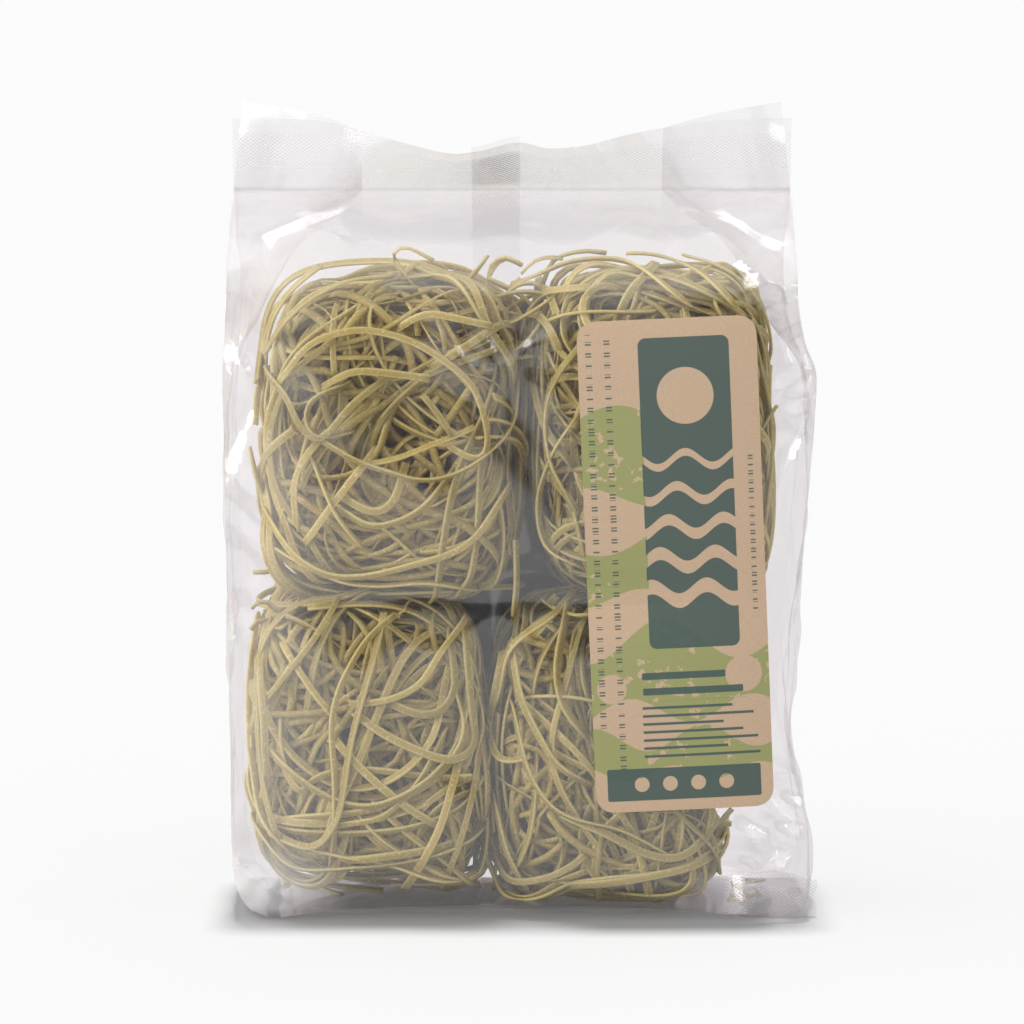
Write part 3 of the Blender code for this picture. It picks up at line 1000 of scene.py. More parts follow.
# Painted fill light: strands deep in a nest, which lie in its shade, are coloured brighter, most at and below
# the first level and fading to none at the second.
PAINTED_FILL_LEVELS = (0.60, 0.97)
PAINTED_FILL_TONES = (1.36, 1.0)
NOODLE_ROUGHNESS = 0.42
NOODLE_RELIEF = 0.35
NOODLE_RELIEF_HEIGHT = 0.0003

NESTS = {
    # low and high x and z, how its strands run, seed, number of strands, each corner that is cut back
    # with its share, and a hollow in its face with its x and z, its reach and its depth
    "nest_upper_left": dict(
        x=(-0.0730, 0.0030), z=(0.0895, 0.1850), kind="swirl", seed=11, strands=39,
        cuts=((135, 0.10), (225, 0.05), (45, 0.02)), hollow=(-0.026, 0.1400, 0.016, 0.30),
    ),
    "nest_upper_right": dict(
        x=(0.0048, 0.0750), z=(0.0880, 0.1870), kind="swirl", seed=23, strands=42,
        cuts=((45, 0.10), (135, 0.03), (225, 0.13)), hollow=(0.0105, 0.138, 0.016, 0.24),
    ),
    "nest_lower_left": dict(
        x=(-0.0770, -0.0055), z=(0.0030, 0.0935), kind="upright", seed=37, strands=39,
        cuts=((45, 0.23), (225, 0.15), (135, 0.05)), hollow=(-0.02, 0.075, 0.012, 0.25),
    ),
    "nest_lower_right": dict(
        x=(-0.0078, 0.0618), z=(-0.0010, 0.0915), kind="upright", seed=41, strands=42,
        cuts=((135, 0.21), (225, 0.05)), hollow=(0.02, 0.05, 0.01, 0.0),
    ),
}

# Strands that show plainly on the front, as places in the photograph. An end is free where it is marked.
LAID = {
    "nest_upper_left": (
        ("", (284, 379), (310, 345), (337, 333), (364, 328), (393, 333), (421, 343), (450, 362), (473, 383),
         (484, 412), (488, 433), (487, 450), (478, 459), (465, 452)),
        ("end", (338, 378), (352, 369), (383, 370), (408, 373), (431, 376)),
        ("", (378, 384), (354, 402), (339, 421), (322, 439), (307, 429), (297, 414), (291, 396), (277, 381)),
        ("", (322, 436), (345, 450), (364, 460), (393, 469), (421, 477), (450, 473), (477, 460), (498, 444),
         (513, 421), (516, 393)),
        ("end", (375, 460), (402, 454), (431, 442), (456, 433), (475, 424)),
        ("both", (424, 392), (439, 410), (453, 432)),
        ("", (337, 387), (316, 395), (308, 412), (312, 427), (326, 438), (337, 433)),
        ("", (368, 459), (352, 479), (337, 498), (316, 528)),
        ("", (318, 463), (328, 488), (337, 509), (354, 532)),
        ("", (352, 498), (368, 507), (383, 509), (396, 498), (402, 479)),
        ("", (350, 511), (373, 523), (402, 517), (425, 504), (442, 484)),
        ("", (298, 512), (297, 479), (307, 456), (320, 440)),
        ("end", (409, 322), (427, 312), (450, 316), (490, 326)),
        ("", (446, 358), (479, 337), (502, 324), (513, 331), (515, 354)),
        ("", (275, 340), (290, 318), (315, 297), (349, 282), (374, 280)),
        ("", (290, 555), (330, 575), (380, 584), (430, 580), (480, 590), (505, 592)),
        ("", (272, 520), (300, 556), (350, 575), (420, 560), (470, 540), (500, 500)),
    ),
    "nest_upper_right": (
        ("", (496, 306), (510, 292), (528, 284), (546, 292), (556, 312)),
        ("", (500, 344), (512, 324), (530, 316), (548, 324), (556, 340)),
        ("", (520, 342), (526, 318), (540, 300), (556, 292), (580, 290)),
        ("both", (521, 277), (530, 264), (546, 257), (562, 260)),
        ("", (527, 283), (545, 275), (567, 265), (595, 262), (618, 263), (647, 275), (680, 300)),
        ("both", (626, 257), (652, 257), (679, 265), (700, 274), (718, 290), (733, 306)),
        ("", (616, 318), (626, 294), (645, 276)),
        ("", (536, 332), (555, 317), (590, 311), (640, 312)),
        ("", (536, 300), (530, 340), (534, 390), (545, 430), (565, 455)),
        ("", (575, 350), (556, 375), (545, 410), (550, 460), (570, 500)),
        ("", (572, 420), (552, 450), (538, 500), (545, 545), (570, 560)),
        ("", (752, 340), (765, 400), (769, 460), (762, 520)),
    ),
    "nest_lower_left": (
        ("start", (396, 613), (371, 633), (352, 661), (338, 692), (333, 725), (336, 772), (336, 819),
         (333, 850)),
        ("start", (385, 611), (376, 650), (364, 692), (352, 739), (345, 784), (338, 815), (321, 841),
         (310, 845), (286, 838)),
        ("", (360, 712), (390, 732), (420, 746), (446, 756), (465, 753), (475, 742), (472, 711), (466, 640)),
        ("", (345, 746), (371, 772), (399, 796), (430, 818)),
        ("", (439, 742), (423, 772), (404, 796), (380, 815), (362, 817), (338, 822)),
        ("", (262, 835), (286, 864), (310, 869), (352, 866), (399, 861), (444, 852), (475, 838), (488, 824)),
        ("", (253, 640), (247, 716), (252, 760), (261, 812), (281, 840)),
        ("", (265, 701), (286, 673), (314, 638), (333, 609), (345, 590)),
        ("", (362, 699), (394, 694), (423, 678), (437, 654), (455, 632)),
        ("", (394, 700), (423, 711), (444, 706), (456, 683), (452, 650)),
        ("", (457, 762), (442, 819), (427, 850), (411, 880)),
        ("", (475, 763), (470, 800), (458, 843), (445, 878)),
        ("", (259, 700), (260, 749), (267, 796), (279, 835)),
        ("", (293, 655), (319, 692), (335, 712)),
        ("both", (252, 577), (262, 581), (272, 577), (284, 572)),
    ),
    "nest_lower_right": (
        ("", (499, 690), (506, 652), (523, 633), (550, 616), (569, 602)),
        ("", (499, 672), (493, 705), (490, 730), (494, 751), (504, 761), (518, 757)),
        ("", (514, 660), (521, 696), (538, 730), (555, 759), (580, 776)),
        ("", (516, 720), (528, 768), (550, 802), (574, 815), (615, 824), (640, 836), (668, 853)),
        ("", (496, 866), (509, 883), (531, 880), (555, 873), (577, 859)),
        ("", (575, 883), (615, 880), (652, 873), (688, 865), (712, 856)),
        ("", (490, 790), (497, 815), (506, 851), (520, 880)),
        ("", (575, 817), (606, 829), (640, 848), (671, 856), (688, 851), (706, 832)),
        ("", (565, 620), (556, 660), (562, 700), (585, 730)),
    ),
}
# Loose ends that stand out of the nests, as x, depth and z in millimetres.
SPURS = {
    "nest_upper_left": (
        ((-28, -6, 178), (-32, -8, 184), (-34, -9, 188.5), (-30, -9, 190.5), (-22.5, -8, 187)),
        ((-14, 2, 179), (-10, 0, 184), (-7, -1, 188)),
        ((-70, -10, 118), (-73, -14, 126), (-75, -15, 134)),
        ((0.5, -20, 86), (1.3, -22, 96), (1.0, -21, 108)),
        ((-8, 8, 177), (-6, 6, 184), (-2, 4, 187), (3, 4, 185)),
    ),
    "nest_upper_right": (
        ((67, -14, 132), (72, -16, 141), (75.5, -17, 146)),
        ((8, -4, 180), (12, -6, 187), (20, -7, 189.5), (27, -6, 189)),
        ((60, 4, 170), (66, 2, 168), (72, 1, 160)),
        ((-7, -8, 176), (4, -9, 178), (15, -8, 175)),
        ((-6, 2, 172), (4, 0, 170), (14, 3, 172)),
        ((-7, -14, 167), (3, -15, 171), (12, -12, 176)),
        ((-6, -6, 164), (5, -8, 163), (14, -6, 168)),
        ((-5, -16, 158), (4, -17, 164), (10, -14, 171)),
        ((-7, 6, 181), (3, 5, 176), (11, 6, 168)),
        ((-5, -12, 157), (5, -14, 160), (13, -12, 158)),
        ((-6, 12, 168), (4, 12, 175), (13, 12, 178)),
        ((-6, 10, 160), (4, 10, 166), (13, 11, 163)),
    ),
    "nest_lower_left": (
        ((-66, -16, 86), (-71, -18, 90), (-74.5, -19, 88)),
        ((-68, -12, 82), (-72, -13, 84), (-75, -13, 81)),
    ),
    "nest_lower_right": (
        ((54, -10, 20), (58.5, -14, 24), (60.5, -15, 26.2), (63.5, -15, 29.3)),
        ((54, -8, 25), (58, -13, 25), (63.4, -14, 24.7)),
        ((60.5, -10, 25.5), (61.8, -12, 23), (61.7, -13, 19), (59.8, -13, 15), (57.5, -12, 12)),
    ),
}


def unit(vectors):
    return vectors / np.maximum(np.linalg.norm(vectors, axis=-1, keepdims=True), 1e-9)


class Nest:
    """The space of one nest: points are given from its middle."""

    def __init__(self, x, z, kind, seed, strands, cuts, hollow):
        self.middle = np.array([sum(x) / 2, 0.0, sum(z) / 2])
        self.half = np.array([(x[1] - x[0]) / 2, NEST_DEPTH, (z[1] - z[0]) / 2]) - NEST_MARGIN
        self.kind = kind
        self.strands = strands
        self.cuts = cuts
        self.hollow = hollow
        self.rng = np.random.default_rng(seed)

    def level(self, at):
        """0 at the nest's middle and 1 on its outside."""
        share = np.abs(at / self.half)
        behind = ((at[..., 1] / self.half[1] + FACE_BACK) / FACE_FADE).clip(0, 1)
        square = SQUARE_FACE + (SQUARE_MIDDLE - SQUARE_FACE) * behind
        front = (share[..., 0] ** square + share[..., 2] ** square) ** (1 / square)
        whole = (front**SQUARE_DEPTH + share[..., 1] ** SQUARE_DEPTH) ** (1 / SQUARE_DEPTH)
        way = np.arctan2(at[..., 2] / self.half[2], at[..., 0] / self.half[0])
        kept = np.ones(at.shape[:-1])
        for corner, cut in self.cuts:
            off = (way - math.radians(corner) + math.pi) % (2 * math.pi) - math.pi
            kept = kept - cut * (1 - CUT_BEHIND * behind) * bump(off, CUT_SPREAD) * front.clip(0, 1) ** 2
        x, z, reach, depth = self.hollow
        gap = np.hypot(at[..., 0] + self.middle[0] - x, at[..., 2] + self.middle[2] - z)
        facing = (-at[..., 1] / self.half[1]).clip(0, 1) ** 2
        return whole / (kept - depth * bump(gap, reach) * facing)

    def outward(self, at):
        """Unit vectors out of the nest."""
        return unit(np.sign(at) * np.abs(at / self.half) ** (SQUARE_FACE - 1) / self.half + at * 1e-3)

    def front_face(self, x, z):
        """Depth of the nest's front at places from its middle, rounded off towards its outline."""
        front = (np.abs(x / self.half[0]) ** SQUARE_FACE + np.abs(z / self.half[2]) ** SQUARE_FACE)
        left = np.clip(FACE_EDGE - front.clip(0, FACE_OUTLINE) ** (SQUARE_DEPTH / SQUARE_FACE), 0.0, None)
        return -self.half[1] * left ** (1 / SQUARE_DEPTH)

    def grain(self, at, tilt):
        """The way that strands like to run."""
        if self.kind == "swirl":
            way = np.stack([at[:, 2], np.zeros(len(at)), -at[:, 0]], axis=-1)
        else:
            way = np.tile([0.0, 0.0, 1.0], (len(at), 1))
        way = unit(way + 1e-6)
        sideways = np.cross(way, [0.0, 1.0, 0.0])
        return unit(way * np.cos(tilt)[:, None] + sideways * np.sin(tilt)[:, None])


def grow(nest, size, count, steps):
    """Paths that wander through a nest, mostly near its outside. Rows of points by strand."""
    rng = nest.rng
    at = unit(rng.normal(size=(count, 3)))
    at = at / nest.level(at)[:, None] * rng.uniform(*START_LEVELS, (count, 1)) * size
    tilt = rng.normal(0, TILT_SPREAD, count)
    heading = unit(np.cross(rng.normal(size=(count, 3)), nest.outward(at)))
    heading = unit(heading + START_GRAIN * nest.grain(at, tilt))
    bend = rng.normal(0, BEND_SPREAD, count)
    dive = rng.uniform(0, 1, count)
    size = size * rng.uniform(LEAST_SIZE, RAGGED, count)
    bend_step, dive_step = STATION / BEND_MEMORY, STATION / DIVE_MEMORY
    paths = np.empty((count, steps, 3))
    for k in range(steps):
        paths[:, k] = at
        out = nest.outward(at)
        bend += -bend * bend_step + rng.normal(0, BEND_CHANGE, count) * math.sqrt(2 * bend_step)
        dive += (DIVE_USUAL - dive) * dive_step + rng.normal(0, DIVE_CHANGE, count) * math.sqrt(2 * dive_step)
        wanted = (1.0 - DIVE_DEPTH * np.clip(dive, 0, DIVE_LIMIT) ** DIVE_CURVE) * size
        heading += STATION * bend[:, None] * np.cross(out, heading)
        way = nest.grain(at, tilt)
        way *= np.sign((way * heading).sum(-1, keepdims=True))
        heading += GRAIN_PULL * (way - heading)
        climb = np.clip((wanted - nest.level(at)) * CLIMB_RATE, -CLIMB_LIMIT, CLIMB_LIMIT)
        heading += CLIMB_PULL * (climb - (heading * out).sum(-1))[:, None] * out
        heading = unit(heading)
        at = at + STATION * heading
    return paths


def hoops(nest):
    """Strands that run round the nest's outside behind its face."""
    rng = nest.rng
    made = []
    for _ in range(HOOPS):
        turns = rng.uniform(*HOOP_TURNS)
        way = np.linspace(0, 2 * math.pi * turns, HOOP_POINTS) + rng.uniform(0, 2 * math.pi)
        depth = rng.uniform(*HOOP_DEPTHS)
        depth = depth + HOOP_SWAY * np.sin(way * rng.uniform(1, 2.5) + rng.uniform(0, 6))
        at = np.stack([np.cos(way), depth, np.sin(way)], axis=-1) * nest.half
        size = rng.uniform(*HOOP_SIZES)
        size = size + HOOP_RAGGED * np.sin(rng.uniform(1.5, 4.0) * way + rng.uniform(0, 6))
        made.append(through(at / nest.level(at)[:, None] * size[:, None], STATION * HOOP_PITCH))
    return made


def smooth_rows(values, times):
    """Values smoothed along each row."""
    values = values.copy()
    for _ in range(times):
        values[:, 1:-1] += 0.5 * (0.5 * (values[:, :-2] + values[:, 2:]) - values[:, 1:-1])
    return values


def follow(nest, leaders):
    """Strands that run beside each leader for a way, and drift off it."""
    rng = nest.rng
    count, steps = leaders.shape[:2]
    out = nest.outward(leaders)
    across = np.cross(unit(np.gradient(leaders, axis=1)), out)
    made = [leaders]
    for turn in range(FOLLOWERS):
        drift = smooth_rows(np.cumsum(rng.normal(0, 1, (count, steps, 2)), axis=1), DRIFT_SMOOTHING)
        drift -= drift[:, steps // 2, None]
        side = (-1) ** turn * rng.uniform(*FOLLOW_GAP, (count, 1)) + FOLLOW_DRIFT * drift[..., 0]
        made.append(leaders + side[..., None] * across + FOLLOW_SINK * drift[..., 1, None] * out)
    return np.concatenate(made)


def through(points, pitch=STATION):
    """Points at an even pitch along a smooth curve through the given ones."""
    points = np.asarray(points, float)
    padded = np.concatenate([[2 * points[0] - points[1]], points, [2 * points[-1] - points[-2]]])
    fine = []
    for k in range(len(points) - 1):
        a, b, c, d = padded[k:k + 4]
        t = np.linspace(0, 1, CURVE_STEPS, endpoint=False)[:, None]
        fine.append(0.5 * (2 * b + (c - a) * t + (2 * a - 5 * b + 4 * c - d) * t**2
                           + (3 * b - 3 * c + d - a) * t**3))
    fine = np.concatenate([*fine, points[-1:]])
    run = np.concatenate([[0], np.cumsum(np.linalg.norm(np.diff(fine, axis=0), axis=1))])
    stops = np.linspace(0, run[-1], max(4, int(run[-1] / pitch)))
    return np.stack([np.interp(stops, run, fine[:, k]) for k in range(fine.shape[1])], axis=-1)


def laid_strands(nest, name):
    """The strands that show plainly on the front, with their hidden ends turned into the nest."""
    made = []
    for free, *places in LAID[name]:
        flat = np.array(from_photo(*places)) - nest.middle[[0, 2]]
        path = through(flat)
        depth = nest.front_face(path[:, 0], path[:, 1])
        path = np.stack([path[:, 0], depth, path[:, 1]], axis=-1)
        for end, at, way in (("start", 0, path[0] - path[2]), ("end", -1, path[-1] - path[-3])):
            if free in (end, "both"):
                continue
            way = unit(way)
            sunk = np.array([path[at] + way * on + np.array([0, inward, 0]) for on, inward in SUNK_END])
            path = np.concatenate([sunk[::-1], path[2:]] if at == 0 else [path[:-2], sunk])
        made.append(smooth_rows(through(path)[None], 3)[0])
    for points in SPURS[name]:
        made.append(through(np.array(points) * MM - nest.middle))
    return made


def close_pairs(points, strand, reach):
    """Pairs of points of different strands that are within reach of each other."""
    cell = np.floor(points / reach).astype(np.int64)
    cell -= cell.min(0) - 1
    span = cell.max(0) + 2
    key = (cell[:, 0] * span[1] + cell[:, 1]) * span[2] + cell[:, 2]
    order = np.argsort(key, kind="stable")
    keys = key[order]
    firsts, seconds = [], []
    mine = np.arange(len(points))
    for dx in (-1, 0, 1):
        for dy in (-1, 0, 1):
            for dz in (-1, 0, 1):
                wanted = key + (dx * span[1] + dy) * span[2] + dz
                low = np.searchsorted(keys, wanted, "left")
                high = np.searchsorted(keys, wanted, "right")
                for k in range(int((high - low).max())):
                    there = low + k < high
                    other = order[(low + k)[there]]
                    me = mine[there]
                    keep = (me < other) & (strand[me] != strand[other])
                    firsts.append(me[keep])
                    seconds.append(other[keep])
    first, second = np.concatenate(firsts), np.concatenate(seconds)
    near = ((points[first] - points[second]) ** 2).sum(-1) < reach**2
    return first[near], second[near]


def smooth_strands(points, inner, times):
    """Points smoothed along their strands, whose ends stay."""
    points = points.copy()
    for _ in range(times):
        middle = 0.5 * (points[:-2] + points[2:])
        points[1:-1] += np.where(inner[1:-1, None], 0.5 * (middle - points[1:-1]), 0)
    return points


def relax(points, laid, inner, times):
    """Smooths free strands along themselves, and laid ones only in how far they were pushed."""
    return laid + smooth_strands(points - laid, inner, times)


def inner_of(strand):
    """True for points with a neighbour of their own strand on both sides."""
    inner = np.zeros(len(strand), bool)
    inner[1:-1] = (strand[:-2] == strand[1:-1]) & (strand[2:] == strand[1:-1])
    return inner


def settle(nest, points, strand, weight):
    """Pushes crossing strands apart, in or out of the nest, so that they lie in layers.

    A strand of greater weight moves less, and lies above lighter ones.
    """
    thick = nests().ribbon_thickness * LAYER_GAP
    inner = inner_of(strand)
    laid = np.where((weight > FIRM)[:, None], points, 0.0)
    for turn in range(SETTLE_ROUNDS):
        if turn % NEW_PAIRS == 0:
            first, second = close_pairs(points, strand, nests().ribbon_width * LAYER_REACH)
            share = weight[second] / (weight[first] + weight[second])
        out = nest.outward(points)
        normal = unit(out[first] + out[second])
        apart = ((points[first] - points[second]) * normal).sum(-1)
        order = np.sign(weight[first] - weight[second]) * HEAVY_ABOVE
        order = order + 1e-5 * (strand[first] - strand[second])
        sign = np.where(apart + order < 0, -1.0, 1.0)
        push = np.clip(thick - apart * sign, 0, thick) * sign
        shift = np.zeros_like(points)
        hits = np.zeros(len(points))
        np.add.at(shift, first, (push * share)[:, None] * normal)
        np.add.at(shift, second, (-push * (1 - share))[:, None] * normal)
        np.add.at(hits, first, 1)
        np.add.at(hits, second, 1)
        points = points + SETTLE_SHARE * shift / np.maximum(hits, 1)[:, None]
        over = nest.level(points)
        outside = (over > RAGGED) & (weight < FIRM)
        points = np.where(outside[:, None], points * RAGGED / np.maximum(over, 1e-6)[:, None], points)
        points = keep_inside(points, nest.middle)
        points = relax(points, laid, inner, 1)
    return relax(points, laid, inner, 2)


def keep_inside(points, middle):
    """Holds the strands clear of the film, front and rear."""
    placed = points + middle
    room = panel_depth(placed[:, 0], np.clip(placed[:, 2], *FILM_HEIGHTS)) - FILM_CLEARANCE
    placed[:, 1] = np.clip(placed[:, 1], -room, room)
    placed[:, 2] = np.maximum(placed[:, 2], FLOOR_CLEARANCE)
    return placed - middle


def ribbons(nest, points, strand, section=SECTION):
    """Points, quads and paint of the ribbons along strands that are given from a nest's middle."""
    rng = nest.rng
    count = int(strand.max()) + 1
    inner = inner_of(strand)
    way = np.zeros_like(points)
    way[1:-1] = points[2:] - points[:-2]
    first = np.flatnonzero(np.diff(strand, prepend=-1))
    last = np.append(first[1:], len(strand)) - 1
    way[first] = points[first + 1] - points[first]
    way[last] = points[last] - points[last - 1]
    way = unit(way)
    out = nest.outward(points)
    flat = unit(out - (out * way).sum(-1, keepdims=True) * way)
    across = np.cross(way, flat)
    turn = smooth_strands(np.cumsum(rng.normal(0, 1, (len(points), 1)), axis=0), inner, TWIST_SMOOTHING)
    turn = (turn - turn[first][strand]) * TWIST + rng.normal(0, STRAND_LEAN, (count, 1))[strand]
    normal = flat * np.cos(turn) + across * np.sin(turn)
    side = np.cross(way, normal)
    width = nests().ribbon_width / 2 * rng.uniform(*WIDTHS, count)[strand][:, None, None]
    thick = nests().ribbon_thickness / 2 * rng.uniform(*THICKNESSES, count)[strand][:, None, None]
    section = np.array(section)
    ring = len(section)
    made = (
        points[:, None]
        + side[:, None] * width * section[:, 0, None]
        + normal[:, None] * thick * section[:, 1, None]
    )
    corner = np.arange(ring)
    step = np.flatnonzero(strand[:-1] == strand[1:])[:, None] * ring
    tube = np.stack([step + corner, step + (corner + 1) % ring, step + ring + (corner + 1) % ring,
                     step + ring + corner], axis=-1).reshape(-1, 4)
    lids = [[k, k + 1, ring - 2 - k, ring - 1 - k] for k in range(ring // 2 - 1)]
    start = first[:, None, None] * ring + np.array(lids)[:, ::-1]
    stop = last[:, None, None] * ring + np.array(lids)
    quads = np.concatenate([tube, start.reshape(-1, 4), stop.reshape(-1, 4)])

    def spread(values):
        return np.broadcast_to(values[:, None], made.shape[:2])

    colours = np.stack([
        np.broadcast_to(section[:, 2], made.shape[:2]),
        spread(rng.uniform(0, 1, count)[strand]),
        spread((np.arange(len(points)) - first[strand]) * STATION),
        # how deep the point lies in its nest, for the painted fill light on inner strands
        spread(nest.level(points).clip(0, 1)),
    ], axis=-1)
    return made.reshape(-1, 3) + nest.middle, quads, colours.reshape(-1, 4)


def flatten(paths, first_strand=0):
    """Rows or a list of paths as one run of points with the strand that each belongs to."""
    strand = np.concatenate([np.full(len(path), first_strand + k) for k, path in enumerate(paths)])
    return np.concatenate(list(paths)), strand


def joined(name, parts):
    """One object from several sets of ribbons."""
    starts = np.cumsum([0] + [len(part[0]) for part in parts])
    quads = np.concatenate([part[1] + start for part, start in zip(parts, starts)])
    piece = mesh_piece(name, np.concatenate([part[0] for part in parts]), quads)
    paint(piece, "strand", np.concatenate([part[2] for part in parts]))
    return piece


def nest_piece(name):
    """One nest: strands that lie where the front shows them, tangled ones, and a loose core."""
    nest = Nest(**NESTS[name])
    steps = int(nests().strand_length / STATION)
    tangled = follow(nest, grow(nest, 1.0, nest.strands // (FOLLOWERS + 1), steps))
    points, strand = flatten(tangled)
    round_it, round_strand = flatten(hoops(nest), strand.max() + 1)
    shown, shown_strand = flatten(laid_strands(nest, name), round_strand.max() + 1)
    weights = (len(strand), 1.0), (len(round_strand), HOOP_WEIGHT), (len(shown), LAID_WEIGHT)
    weight = np.concatenate([np.full(count, weight) for count, weight in weights])
    points = np.concatenate([points, round_it, shown])
    strand = np.concatenate([strand, round_strand, shown_strand])
    points = settle(nest, points, strand, weight)
    core, core_strand = flatten(grow(nest, CORE_SHARE, CORE_STRANDS, steps)[:, ::CORE_STRIDE])
    return joined(name, [ribbons(nest, points, strand), ribbons(nest, core, core_strand, PLAIN_SECTION)])


def noodle_material():
    """Dried rice ribbon: olive khaki, mottled, and letting some light through, with a painted glow of light
    at its rims and painted fill light that brightens the strands deep in a nest.
    """
    material = new_material("dried_noodle")
    draw = Shader(material.node_tree)
    strand = draw.attribute("strand")
    parts = draw.channels(strand["Color"])
    mottle = draw.noise(MOTTLE_SCALE, 3.0)
    grainy = draw.math("MULTIPLY_ADD", mottle, MOTTLE_SHARE, -MOTTLE_SHARE / 2)
    # painted glow of light through the rims, given as a lighter colour
    rim = draw.math("ADD", draw.ramp(parts["Red"], *RIM_GLOW_EDGE), grainy, clamp=True)
    colour = draw.colour(rim, nests().body_colour, nests().rim_glow_colour)
    fleck = draw.product(draw.ramp(mottle, *FLECK_EDGE), FLECK_SHARE)
    colour = draw.colour(fleck, colour, nests().fleck_colour)
    own = draw.ramp(parts["Green"], 0, 1, *STRAND_TONES)
    # painted fill light: brightens strands deep in the nest, where its own shade falls
    deep = draw.ramp(strand["Alpha"], *PAINTED_FILL_LEVELS, *PAINTED_FILL_TONES)
    tone = draw.node("HueSaturation", Value=draw.product(own, deep), Color=colour)["Color"]
    normal = draw.bump(mottle, NOODLE_RELIEF, NOODLE_RELIEF_HEIGHT)
    skin = draw.node("BsdfPrincipled", Roughness=NOODLE_ROUGHNESS, Base_Color=tone, Normal=normal)["BSDF"]
    through_it = draw.node("BsdfTranslucent", Color=tone)["BSDF"]
    draw.node("OutputMaterial", Surface=draw.mixed(nests().translucency, skin, through_it))
    return material


class NOODLE_OT_nests(bpy.types.Operator):
    """Makes the nests of tangled noodle ribbons"""

    bl_idname = "noodle.nests"
    bl_label = "Nests"

    def execute(self, context):
        material = noodle_material()
        for name in NESTS:
            nest = nest_piece(name)
            nest.data.materials.append(material)
            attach(nest, "root")
            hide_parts("bag")
        return {"FINISHED"}


# Crumbs

CRUMBS = (
    # x, depth and z in millimetres, turn and tilt in degrees, length and bend
    (-58, 14, 1.8, -35, 0, 7, -0.4),
    (-66, 12, 1.8, 80, 0, 8, 0.5),
    (-24, 26, 1.8, 40, 0, 6, 0.0),
    (-6, 14, 1.8, -12, 3, 6, 0.5),
    (-4, 8, 1.8, 70, 4, 7, 0.2),
    (65, -13, 1.9, -15, 3, 5, 0.7),
    (70, -5, 1.9, 60, 0, 6, 0.2),
    (66, 8, 1.9, -70, 0, 9, 0.4),
    (72, 16, 1.9, 15, 0, 6, 0.3),
    (20, 27, 1.8, -10, 0, 10, 0.3),
)
CRUMB_POINTS = 9
BAG_INSIDE = dict(
    x=(-0.080, 0.080), z=(-0.030, 0.190), kind="swirl", seed=53, strands=0, cuts=(), hollow=(0, 0, 0.01, 0)
)


def crumb_path(x, y, z, turn, tilt, length, bend):
    """A short broken noodle: a bent line about its middle."""
    run = np.linspace(-0.5, 0.5, CRUMB_POINTS) * length
    bow = bend * (run**2 / length - length / 12)
    turn, tilt = math.radians(turn), math.radians(tilt)
    along = np.array([math.cos(turn) * math.cos(tilt), math.sin(turn) * math.cos(tilt), math.sin(tilt)])
    aside = np.array([-math.sin(turn), math.cos(turn), 0.0])
    return (np.array([x, y, z]) + run[:, None] * along + bow[:, None] * aside) * MM


def crumbs_piece():
    """Short broken noodles that lie in the foot of the bag."""
    inside = Nest(**BAG_INSIDE)
    paths = [through(crumb_path(*crumb)) - inside.middle for crumb in CRUMBS]
    points, strand = flatten(paths)
    return joined("crumbs", [ribbons(inside, keep_inside(points, inside.middle), strand)])


class NOODLE_OT_crumbs(bpy.types.Operator):
    """Makes the broken noodles in the foot of the bag"""

    bl_idname = "noodle.crumbs"
    bl_label = "Crumbs"

    def execute(self, context):
        crumbs = crumbs_piece()
        crumbs.data.materials.append(bpy.data.materials["dried_noodle"])
        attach(crumbs, "root")
        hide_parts("bag")
        return {"FINISHED"}


# Labels

FRONT_LABEL = dict(centre=(0.0462, 0.1022), tilt=math.radians(2.5), side=-1)
BACK_LABEL = dict(centre=(0.0036, 0.0910), tilt=0.0, side=1)
PRINT_EDGE = 0.00016
FIBRES = (2200.0, 4.0)  # scale and detail
FIBRE_TONES = (0.82, 1.17)
FIBRE_RELIEF = (0.2, 0.0002)  # strength and height
PAPER_ROUGHNESS = 0.8
REVERSE_SCALE = 900.0
REVERSE_SHADE_TONES = (0.8, 1.2)
INK_WEAR = ((420.0, 5.0, 0.42), (90.0, 2.0, 0.50))  # scale and detail of each noise, and its edge
HILL_FOOT = (0.6, 0.8, 2)  # rise and pitch as shares of the top's, and the turn that is added
GREEN_COVER = 0.92
DARK_COVER = 0.95
STROKE_PITCH = 0.00085
SHORTEST_BAR = 0.7  # what a bar can lose, in half widths
BLOCK_LEAST = 0.14  # half height of a small block, as a share of its row's pitch
BLOCK_SPREAD = 0.22

# The designs, in metres from a label's middle. A box has its middle's x and y, half width, half
# height and corner, and a disk its middle's x and y and its radius.
PANEL = (0.0045, 0.0205, 0.0128, 0.0440, 0.0022)
SUN = (0.0045, 0.0480, 0.0080)
REEDS = 5
REED_TOP = 0.030
REED_PITCH = 0.0095
REED_RISE = 0.0021
REED_WAVE = 0.0155
REED_TURN = 1.1
REED_HALF = 0.0011
REED_WIDER = 0.00025
FAR_HILLS = (
    # top, rise, pitch and turn of its wave, and depth
    (0.041, 0.0050, 0.052, 3.4, 0.021),
    (0.008, 0.0045, 0.047, 1.2, 0.017),
)
FAR_HILLS_END = -0.0078
NEAR_HILLS = (
    (-0.021, 0.0060, 0.043, 2.2, 0.020),
    (-0.049, 0.0035, 0.031, 0.4, 0.010),
)
HOLLOWS = ((0.0180, -0.0315, 0.0052), (-0.0195, -0.0345, 0.0042))
FOOT = (0.0, -0.0620, 0.0218, 0.0046, 0.0006)
DOTS = (-0.0120, -0.0040, 0.0040, 0.0120)
DOT_RADIUS = 0.0021
HEAD_BARS = ((0.0010, -0.0312, 0.0118, 0.0010, 0.0004), (0.0035, -0.0356, 0.0142, 0.0010, 0.0004))
